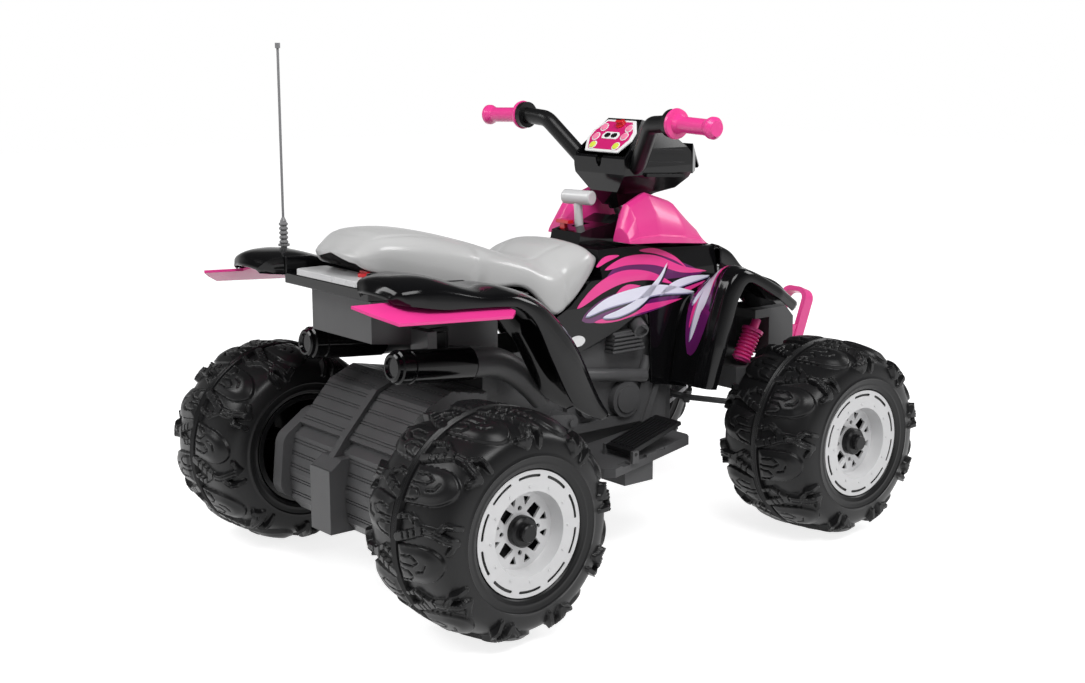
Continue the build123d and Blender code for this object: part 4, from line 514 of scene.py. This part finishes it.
def mirrored_pair(name, points, body, material, nodes, wall=4, angle=50):
    """The same sheet on both sides of the car."""
    rows, columns, _ = points.shape
    for hand, side in ((1, "left"), (-1, "right")):
        flat = points.reshape(-1, 3) * np.array([hand, 1, 1])
        mesh = mesh_from(f"{name}_{side}", flat, grid_faces(rows, columns), angle)
        piece = add_piece(f"{name}_{side}", body, material, mesh, nodes)
        thicken(piece, wall)
        orient_outward(piece, points.mean(axis=(0, 1)) * np.array([hand, 1, 1]))


def orient_outward(piece, middle):
    """Turn the faces of an open sheet so that its upper side is the outer one."""
    bm = bmesh.new()
    bm.from_mesh(piece.data)
    lift = sum(face.normal.z * face.calc_area() for face in bm.faces)
    if lift < 0:
        bmesh.ops.reverse_faces(bm, faces=bm.faces)
    bm.to_mesh(piece.data)
    bm.free()


WING = [
    (125, 256), (143, 285), (183, 362), (222, 409), (259, 442), (314, 462), (367, 467), (434, 486), (470, 489),
    (500, 484), (513, 468),
]
WING_LIP = [
    (150, 250), (180, 264), (208, 286), (245, 350), (278, 412), (306, 436), (330, 441), (401, 446), (434, 448),
    (480, 456), (506, 460),
]
WING_INNER = [(0, 150), (0.36, 150), (0.47, 118), (0.9, 112), (0.97, 122), (1, 138)]
WING_OUTER = [(0, 236), (0.3, 238), (0.9, 238), (0.97, 230), (1, 212)]
WING_PROFILE = [
    (0.0, 0.9, 0), (0.005, 0.35, 0), (0.03, 0.08, 0), (0.09, 0.0, -1.0), (0.2, 0, 1.5), (0.35, 0, 2.6), (0.5, 0, 2.8),
    (0.65, 0, 2.0), (0.76, 0.02, 0.5), (0.85, 0.07, -1), (0.92, 0.17, -1), (0.965, 0.32, 0), (0.99, 0.52, 0),
    (1.0, 0.75, 0), (0.995, 1.0, 0), (0.975, 1.04, 0),
]
mirrored_pair(
    "arched_rear_wing", sweep_sheet(WING, WING_LIP, WING_INNER, WING_OUTER, WING_PROFILE, 110), "body",
    FINISHES["gloss_black"], (), 3,
)

ARCH = [
    (-112, 250), (-128, 330), (-148, 396), (-160, 425), (-178, 440), (-205, 438), (-272, 407), (-330, 372),
]
ARCH_BESIDE_BODY = [
    (-116, 250), (-130, 330), (-148, 378), (-172, 396), (-196, 410), (-224, 420), (-276, 402), (-330, 370),
]
ARCH_LIP = [
    (-134, 247), (-150, 322), (-168, 382), (-180, 404), (-192, 417), (-208, 416), (-262, 388), (-312, 358),
]
ARCH_PROFILE = [
    (0.0, 0.15, 0), (0.04, 0.0, 0), (0.14, 0, 1.6), (0.26, 0, 3.4), (0.4, 0, 4.0), (0.52, 0, 2.4), (0.62, 0, -0.6),
    (0.70, 0, -2.4), (0.77, 0, -1.2), (0.82, 0, 0.8), (0.87, 0.01, 1.2), (0.92, 0.07, 0), (0.955, 0.2, 0),
    (0.985, 0.42, 0), (1.0, 0.7, 0), (0.998, 1.0, 0), (0.98, 1.05, 0),
]
ARCH_INNER = [(0, 104), (1, 101)]
ARCH_OUTER = [(0, 196), (0.2, 203), (0.85, 205), (1, 198)]
arch_points = sweep_sheet(ARCH, ARCH_LIP, ARCH_INNER, ARCH_OUTER, ARCH_PROFILE, 90, ARCH_BESIDE_BODY)
mirrored_pair("arched_front_fender", arch_points, "body", FINISHES["gloss_black"], ["front_fender"], 3)


def prism(name, outline, x_low, x_high, slot, body="body", soft=2.0, nodes=()):
    """A closed block from a side outline of (y, z) points, with rounded edges."""
    count = len(outline)
    points = [(x, y, z) for x in (x_low, x_high) for y, z in outline]
    faces = [tuple(range(count)), tuple(range(count, 2 * count))]
    faces += [(i, (i + 1) % count, count + (i + 1) % count, count + i) for i in range(count)]
    piece = add_piece(name, body, FINISHES[slot], mesh_from(name, points, faces, 35), nodes)
    round_over = piece.modifiers.new("round", "BEVEL")
    round_over.width = soft * MM
    round_over.segments = 3
    round_over.limit_method = "ANGLE"
    return piece


# Hood between the front fenders: a rounded wedge with a raised middle and a sunk line near each side
HOOD = [(-232, 466), (-262, 451), (-300, 418), (-380, 388), (-430, 345)]
HOOD_HALF = 104
HOOD_PROFILE = [
    (-1, 60), (-1, 10), (-0.985, 4), (-0.95, 0.5), (-0.8, -0.8), (-0.72, 1.6), (-0.66, -1.4), (-0.4, -3.4), (0, -4.2),
    (0.4, -3.4), (0.66, -1.4), (0.72, 1.6), (0.8, -0.8), (0.95, 0.5), (0.985, 4), (1, 10), (1, 60),
]
hood_line = curve_through(HOOD, 60)
hood_points = [
    (across * HOOD_HALF, y, max(z - min(sink, z - 345), 344)) for y, z in hood_line for across, sink in HOOD_PROFILE
]
hood_sheet = mesh_from("hood_sheet", hood_points, grid_faces(len(hood_line), len(HOOD_PROFILE)), 50)
hood = add_piece("rounded_hood", "body", FINISHES["gloss_black"], hood_sheet, ["front_fender"])
thicken(hood, 3)

# Deck: the flat tray behind and below the saddle
DECK = [(190, 430), (478, 463), (478, 447), (473, 447), (473, 457), (190, 425)]
prism("deck_tray", DECK, -112, 112, "gloss_black", soft=1.2, nodes=["rear_fender"])
for hand in (-1, 1):
    wall = sorted((hand * 109, hand * 114))
    side_wall = [(250, 432), (259, 442), (314, 462), (367, 465), (434, 485), (478, 487), (478, 447)]
    prism(f"deck_wall_{'left' if hand > 0 else 'right'}", side_wall, *wall, "gloss_black", soft=1.5)


# Exhaust elbows from the mufflers down to the frame, and the latch plates beside the tail
PIPE_X = 117.5
ELBOW = [(307, 338, 23), (262, 334, 22.5), (222, 314, 21.5), (190, 286, 19.5), (170, 262, 17)]
ELBOW_ROWS = 36
ELBOW_TURNS = 32
LATCH = [(320, 354), (352, 354), (352, 390), (320, 390)]
LATCH_INSET = [(326, 360), (346, 360), (346, 384), (326, 384)]
elbow_line = curve_through(ELBOW, ELBOW_ROWS)
elbow_run = np.gradient(elbow_line[:, :2], axis=0)
elbow_run /= np.linalg.norm(elbow_run, axis=1)[:, None]
for hand, side in ((1, "left"), (-1, "right")):
    elbow_points = [
        (hand * PIPE_X + r * cos(t), y - r * sin(t) * dz, z + r * sin(t) * dy)
        for (y, z, r), (dy, dz) in zip(elbow_line, elbow_run)
        for t in np.linspace(0, 2 * pi, ELBOW_TURNS, endpoint=False)
    ]
    elbow_faces = grid_faces(ELBOW_ROWS, ELBOW_TURNS, wrap_columns=True)
    elbow_faces += [tuple(range(ELBOW_TURNS)), tuple(len(elbow_points) - 1 - k for k in range(ELBOW_TURNS))]
    elbow = mesh_from(f"exhaust_elbow_{side}", elbow_points, elbow_faces, 60)
    add_piece(f"exhaust_elbow_{side}", "body", FINISHES["dark_grey"], elbow, ["exhaust_pipes"])
    for name, outline, reach in (("plate", LATCH, 84), ("catch", LATCH_INSET, 87)):
        prism(f"latch_{name}_{side}", outline, *sorted((hand * 78, hand * reach)), "satin_black", soft=1.5)


# Decor: generic ribbons in pink, white and lilac
def ribbon(route, width, count=40, columns=7):
    """A leaf-shaped stroke along a route in the surface's own two coordinates."""
    line = curve_through(route, count)
    run = np.gradient(line, axis=0)
    normal = np.stack([-run[:, 1], run[:, 0]], 1) / np.linalg.norm(run, axis=1)[:, None]
    half = width / 2 * np.sin(pi * np.linspace(0.0, 1.0, count) ** 0.8) ** 0.75
    across = np.linspace(-1, 1, columns)
    return line[:, None, :] + normal[:, None, :] * (half[:, None] * across[None, :])[..., None]


def on_body(hand):
    """The body's flank: takes (y, z) and gives a point on the side named by hand."""
    def place(points, lift):
        y, z = points[..., 0], points[..., 1]
        half = np.interp(z, [300, 392, 432, 480], [100, 100, 96, 84])
        return np.stack([hand * (half + lift), y, z], -1)
    return place


def on_fender(hand):
    """The front fender: takes (share along the arch, share across) and gives a point on it."""
    rows, columns, _ = arch_points.shape
    across_at = [entry[0] for entry in ARCH_PROFILE]

    def place(points, lift):
        along = np.clip(points[..., 0], 0, 1) * (rows - 1)
        across = np.interp(np.clip(points[..., 1], 0, 0.9), across_at[:12], range(12))
        i = np.clip(along.astype(int), 0, rows - 2)
        j = np.clip(across.astype(int), 0, columns - 2)
        a, b = (along - i)[..., None], (across - j)[..., None]
        corner = [arch_points[i, j], arch_points[i + 1, j], arch_points[i, j + 1], arch_points[i + 1, j + 1]]
        spot = corner[0] * (1 - a) * (1 - b) + corner[1] * a * (1 - b) + corner[2] * (1 - a) * b + corner[3] * a * b
        normal = np.cross(corner[1] - corner[0], corner[2] - corner[0])
        normal *= np.sign(normal[..., 2:3] + 1e-9)
        spot = spot + normal / np.linalg.norm(normal, axis=-1)[..., None] * lift
        return spot * np.array([hand, 1, 1])
    return place


def stickers(name, strokes, surface, lift, material):
    """Thin printed strokes laid on a surface, as one piece."""
    points, faces, start = [], [], 0
    for route, width in strokes:
        flat = ribbon(route, width)
        rows, columns, _ = flat.shape
        points.append(surface(flat, lift).reshape(-1, 3))
        faces += [tuple(start + k for k in face) for face in grid_faces(rows, columns)]
        start += rows * columns
    add_piece(name, "body", material, mesh_from(name, np.concatenate(points), faces, 60))


def shifted(strokes, along, up, scale):
    """The same strokes moved and made wider or narrower."""
    return [([(a + along, b + up) for a, b in route], width * scale) for route, width in strokes]


BODY_WHITE = [
    ([(66, 378), (20, 394), (-40, 402), (-100, 404), (-176, 392)], 19),
    ([(30, 372), (-8, 376), (-52, 390), (-92, 418), (-118, 446)], 13),
    ([(-96, 396), (-130, 408), (-168, 414), (-212, 416)], 12),
]
BODY_PINK = [
    ([(84, 392), (30, 420), (-20, 432), (-76, 428), (-128, 410)], 20),
    ([(20, 446), (-30, 456), (-90, 452), (-150, 432), (-206, 424)], 16),
    ([(48, 366), (0, 368), (-50, 376), (-104, 380), (-146, 384)], 13),
    ([(-60, 470), (-96, 466), (-134, 452), (-160, 434)], 9),
    ([(36, 452), (14, 462), (-16, 466)], 9),
    ([(2, 404), (-24, 414), (-54, 414)], 9),
    ([(-140, 392), (-170, 402), (-204, 408)], 9),
]
BODY_PURPLE = [
    ([(74, 372), (20, 384), (-50, 388), (-110, 390), (-160, 398)], 44),
    ([(20, 430), (-50, 444), (-120, 436), (-196, 422)], 40),
]
FENDER_WHITE = [
    ([(0.20, 0.34), (0.36, 0.40), (0.52, 0.46), (0.84, 0.58)], 0.15),
    ([(0.38, 0.22), (0.52, 0.34), (0.66, 0.40), (0.80, 0.42)], 0.12),
    ([(0.34, 0.46), (0.46, 0.55), (0.60, 0.60)], 0.09),
    ([(0.56, 0.56), (0.68, 0.62), (0.84, 0.68)], 0.08),
]
FENDER_PURPLE = [
    ([(0.14, 0.32), (0.36, 0.40), (0.60, 0.46), (0.92, 0.54)], 0.62),
    ([(0.44, 0.14), (0.60, 0.24), (0.84, 0.30)], 0.26),
]
FENDER_PINK = [
    ([(0.40, 0.56), (0.60, 0.64), (0.90, 0.72)], 0.09),
    ([(0.26, 0.26), (0.40, 0.28), (0.54, 0.24)], 0.08),
    ([(0.62, 0.20), (0.74, 0.28), (0.90, 0.32)], 0.08),
]
for hand, side in ((1, "left"), (-1, "right")):
    flank, fender = on_body(hand), on_fender(hand)
    layers = [
        ("body_purple", BODY_PURPLE, flank, 0.3, "gloss_black", DECOR_PURPLE),
        ("body_pink", BODY_PINK, flank, 0.5, "pink", DECOR_PINK),
        ("body_navy", shifted(BODY_WHITE, -2, -4, 1.15), flank, 0.7, "gloss_black", DECOR_NAVY),
        ("body_lilac", shifted(BODY_WHITE, 1, -2, 1.0), flank, 0.9, "light_grey", DECOR_LILAC),
        ("body_white", BODY_WHITE, flank, 1.1, "light_grey", DECOR_WHITE),
        ("fender_purple", FENDER_PURPLE, fender, 0.3, "gloss_black", DECOR_PURPLE),
        ("fender_pink", FENDER_PINK, fender, 0.5, "pink", DECOR_PINK),
        ("fender_lilac", shifted(FENDER_WHITE, -0.008, -0.02, 1.1), fender, 0.7, "light_grey", DECOR_LILAC),
        ("fender_white", FENDER_WHITE, fender, 0.9, "light_grey", DECOR_WHITE),
    ]
    for name, strokes, surface, lift, slot, material in layers:
        stickers(f"decor_{name}_{side}", strokes, surface, lift, material)

# The bare white oval on each flank
OVAL_MIDDLE = (84, 340)
OVAL_HALF = (17, 9)
for hand, side in ((1, "left"), (-1, "right")):
    turns = np.linspace(0, 2 * pi, 40, endpoint=False)
    rim_points = [(hand * 101.2, OVAL_MIDDLE[0] + OVAL_HALF[0] * cos(t), OVAL_MIDDLE[1] + OVAL_HALF[1] * sin(t)) for t in turns]
    oval = mesh_from(f"bare_oval_{side}", rim_points, [tuple(range(40))])
    add_piece(f"bare_oval_{side}", "body", PLAIN_WHITE, oval)

# Tank cover: two faceted lobes with a crease down each side, and the bridge ahead of the column
TANK = [
    (-26, 62, 102, 485, 508), (-44, 50, 107, 484, 545), (-88, 40, 109, 482, 561), (-150, 30, 104, 476, 543),
    (-200, 20, 92, 470, 504), (-224, 14, 80, 467, 475),
]
TANK_PROFILE = [
    (0, 0), (0.02, 0.30), (0.10, 0.72), (0.26, 0.97), (0.40, 1.0), (0.56, 0.93), (0.80, 0.64), (0.95, 0.30), (0.97, 0.17),
    (1.0, 0.15), (1.0, 0),
]
tank_line = np.array(TANK, float)
for hand, side in ((1, "left"), (-1, "right")):
    at = np.concatenate([np.linspace(a, b, 8, endpoint=False) for a, b in zip(range(5), range(1, 6))] + [[5.0]])
    sections = np.stack([np.interp(at, range(6), tank_line[:, k]) for k in range(5)], 1)
    lobe_points = [
        (hand * (inner + across * (outer - inner)), y, low + up * (top - low))
        for y, inner, outer, low, top in sections for across, up in TANK_PROFILE
    ]
    ends = [tuple(range(len(TANK_PROFILE))), tuple(len(lobe_points) - 1 - k for k in range(len(TANK_PROFILE)))]
    lobe_faces = grid_faces(len(sections), len(TANK_PROFILE), wrap_columns=True) + ends
    lobe = mesh_from(f"tank_lobe_{side}", lobe_points, lobe_faces, 22)
    piece = add_piece(f"faceted_tank_lobe_{side}", "body", FINISHES["pink"], lobe, ["tank_cover"])
    round_over = piece.modifiers.new("round", "BEVEL")
    round_over.width = 2.5 * MM
    round_over.segments = 3
    round_over.angle_limit = radians(20)
bridge = [(-128, 479), (-128, 503), (-160, 500), (-200, 486), (-222, 474), (-222, 468)]
prism("tank_bridge", bridge, -45, 45, "pink", soft=3, nodes=["tank_cover"])

# Instrument panel: a white surround, a magenta face, the display and a pale ring round each button
PANEL_ORIGIN = np.array([0, -53, 625])
PANEL_UP = np.array([0, -0.688, 0.725])
PANEL_OUT = np.array([0, 0.725, 0.688])
PANEL_SHAPE = [(40, 0), (54, 26), (52, 44), (34, 68)]
BUTTONS = [(-28, 12), (28, 12), (-34, 30), (-28, 50), (33, 33), (32, 50)]


def panel_point(x, s, height):
    """A point over the panel, from the rider's left to right and up its slope."""
    return PANEL_ORIGIN + np.array([-x, 0, 0]) + PANEL_UP * s + PANEL_OUT * height


def panel_layer(name, outline, low, high, material, nodes=(), soft=0.6):
    """A flat layer of the panel between two heights."""
    count = len(outline)
    points = [panel_point(x, s, h) for h in (low, high) for x, s in outline]
    faces = [tuple(range(count)), tuple(range(count, 2 * count))]
    faces += [(i, (i + 1) % count, count + (i + 1) % count, count + i) for i in range(count)]
    piece = add_piece(name, "steering", material, mesh_from(name, points, faces, 35), nodes)
    round_over = piece.modifiers.new("round", "BEVEL")
    round_over.width = soft * MM
    round_over.segments = 2
    round_over.limit_method = "ANGLE"


def oval(x, s, half_x, half_s, count=32):
    """An ellipse on the panel."""
    turns = np.linspace(0, 2 * pi, count, endpoint=False)
    return [(x + half_x * cos(t), s + half_s * sin(t)) for t in turns]


panel_outline = [*PANEL_SHAPE, *[(-x, s) for x, s in reversed(PANEL_SHAPE)]]
panel_inset = [(x * 0.88, 4.5 + s * 0.87) for x, s in panel_outline]
panel_layer("panel_surround", panel_outline, -3, 0.6, PLAIN_WHITE, ["instrument_panel"], 1.2)
panel_layer("panel_face", panel_inset, 0.4, 1.0, FINISHES["panel_magenta"])
display = [(-17, 26), (17, 26), (20, 30), (20, 36), (15, 41), (-15, 41), (-20, 36), (-20, 30)]
panel_layer("panel_display", display, 0.8, 1.8, PLAIN_WHITE, soft=0.8)
for x in (-8, 8):
    panel_layer(f"panel_eye_{x}", oval(x, 33.5, 7, 5), 1.6, 2.2, FINISHES["satin_black"], soft=0.3)
for index, (x, s) in enumerate(BUTTONS):
    panel_layer(f"button_ring_{index + 1}", oval(x, s, 8.4, 8.4), 0.8, 1.5, PLAIN_WHITE, soft=0.4)

# Floor, backdrop, lamps and camera
FLOOR_HALF = 9.0


def white_when_seen(tree, shader_output, strength):
    """Add light to a surface only for the camera, mirrors and glass."""
    path = tree.nodes.new("ShaderNodeLightPath")
    seen = path.outputs["Is Camera Ray"]
    for other in ("Is Glossy Ray", "Is Transmission Ray"):
        either = tree.nodes.new("ShaderNodeMath")
        either.operation = "MAXIMUM"
        tree.links.new(seen, either.inputs[0])
        tree.links.new(path.outputs[other], either.inputs[1])
        seen = either.outputs[0]
    glow = tree.nodes.new("ShaderNodeEmission")
    level = tree.nodes.new("ShaderNodeMath")
    level.operation = "MULTIPLY"
    level.inputs[1].default_value = strength
    tree.links.new(seen, level.inputs[0])
    tree.links.new(level.outputs[0], glow.inputs["Strength"])
    both = tree.nodes.new("ShaderNodeAddShader")
    tree.links.new(shader_output, both.inputs[0])
    tree.links.new(glow.outputs[0], both.inputs[1])
    return both.outputs[0]


floor_mesh = bpy.data.meshes.new("floor")
floor_mesh.from_pydata(
    [(-FLOOR_HALF, -FLOOR_HALF, 0), (FLOOR_HALF, -FLOOR_HALF, 0), (FLOOR_HALF, FLOOR_HALF, 0), (-FLOOR_HALF, FLOOR_HALF, 0)],
    [], [(0, 1, 2, 3)],
)
floor = bpy.data.objects.new("floor", floor_mesh)
floor.location.z = -0.2 * MM
bpy.context.scene.collection.objects.link(floor)
floor_look = bpy.data.materials.new("studio_floor")
floor_look.use_nodes = True
floor_tree = floor_look.node_tree
floor_shader = floor_tree.nodes["Principled BSDF"]
floor_shader.inputs["Base Color"].default_value = (0.6, 0.6, 0.6, 1)
floor_shader.inputs["Roughness"].default_value = 1.0
floor_shader.inputs["Specular IOR Level"].default_value = 0.0
floor_output = next(n for n in floor_tree.nodes if n.type == "OUTPUT_MATERIAL")
floor_tree.links.new(white_when_seen(floor_tree, floor_shader.outputs[0], 0.80), floor_output.inputs["Surface"])
floor_mesh.materials.append(floor_look)

world = bpy.data.worlds.new("studio")
bpy.context.scene.world = world
world.use_nodes = True
sky = world.node_tree
background = sky.nodes["Background"]
path = sky.nodes.new("ShaderNodeLightPath")
direction = sky.nodes.new("ShaderNodeTexCoord")
height = sky.nodes.new("ShaderNodeSeparateXYZ")
sky.links.new(direction.outputs["Generated"], height.inputs["Vector"])
mirror_sky = ramp(sky, height.outputs["Z"], [(0.0, (0.8, 0.8, 0.8, 1)), (0.10, (0.5, 0.5, 0.5, 1)), (0.4, (0.05, 0.05, 0.05, 1))])
ambient = sky.nodes.new("ShaderNodeMix")
ambient.data_type = "RGBA"
ambient.inputs[6].default_value = (0.42, 0.42, 0.425, 1)
sky.links.new(path.outputs["Is Glossy Ray"], ambient.inputs["Factor"])
sky.links.new(mirror_sky, ambient.inputs[7])
seen = sky.nodes.new("ShaderNodeMix")
seen.data_type = "RGBA"
sky.links.new(path.outputs["Is Camera Ray"], seen.inputs["Factor"])
sky.links.new(ambient.outputs[2], seen.inputs[6])
seen.inputs[7].default_value = (1, 1, 1, 1)
sky.links.new(seen.outputs[2], background.inputs["Color"])


def lamp(name, place, size, power, target=(0, 0, 0.25)):
    """A soft box that looks at the object."""
    light = bpy.data.lights.new(name, "AREA")
    light.shape = "RECTANGLE"
    light.size, light.size_y = size
    light.energy = power
    box = bpy.data.objects.new(name, light)
    box.location = place
    box.rotation_euler = (Vector(target) - Vector(place)).to_track_quat("-Z", "Y").to_euler()
    bpy.context.scene.collection.objects.link(box)


lamp("key_softbox", (-1.6, 0.6, 2.4), (1.6, 1.1), 46)
lamp("rear_softbox", (1.2, 2.2, 2.2), (1.4, 0.9), 30)
lamp("front_softbox", (-1.0, -2.4, 1.9), (1.2, 0.9), 24)

camera = bpy.data.cameras.new("photo_camera")
camera.sensor_width = 36
camera.lens = CAMERA_LENS
camera_place = bpy.data.objects.new("photo_camera", camera)
camera_place.location = Vector(CAMERA_PLACE) * MM
yaw, pitch = radians(CAMERA_YAW), radians(CAMERA_PITCH)
look = Vector((sin(yaw) * cos(pitch), cos(yaw) * cos(pitch), sin(pitch)))
camera_place.rotation_euler = look.to_track_quat("-Z", "Y").to_euler()
bpy.context.scene.collection.objects.link(camera_place)
bpy.context.scene.camera = camera_place
bpy.context.scene.view_settings.view_transform = "Standard"

bpy.context.view_layer.update()
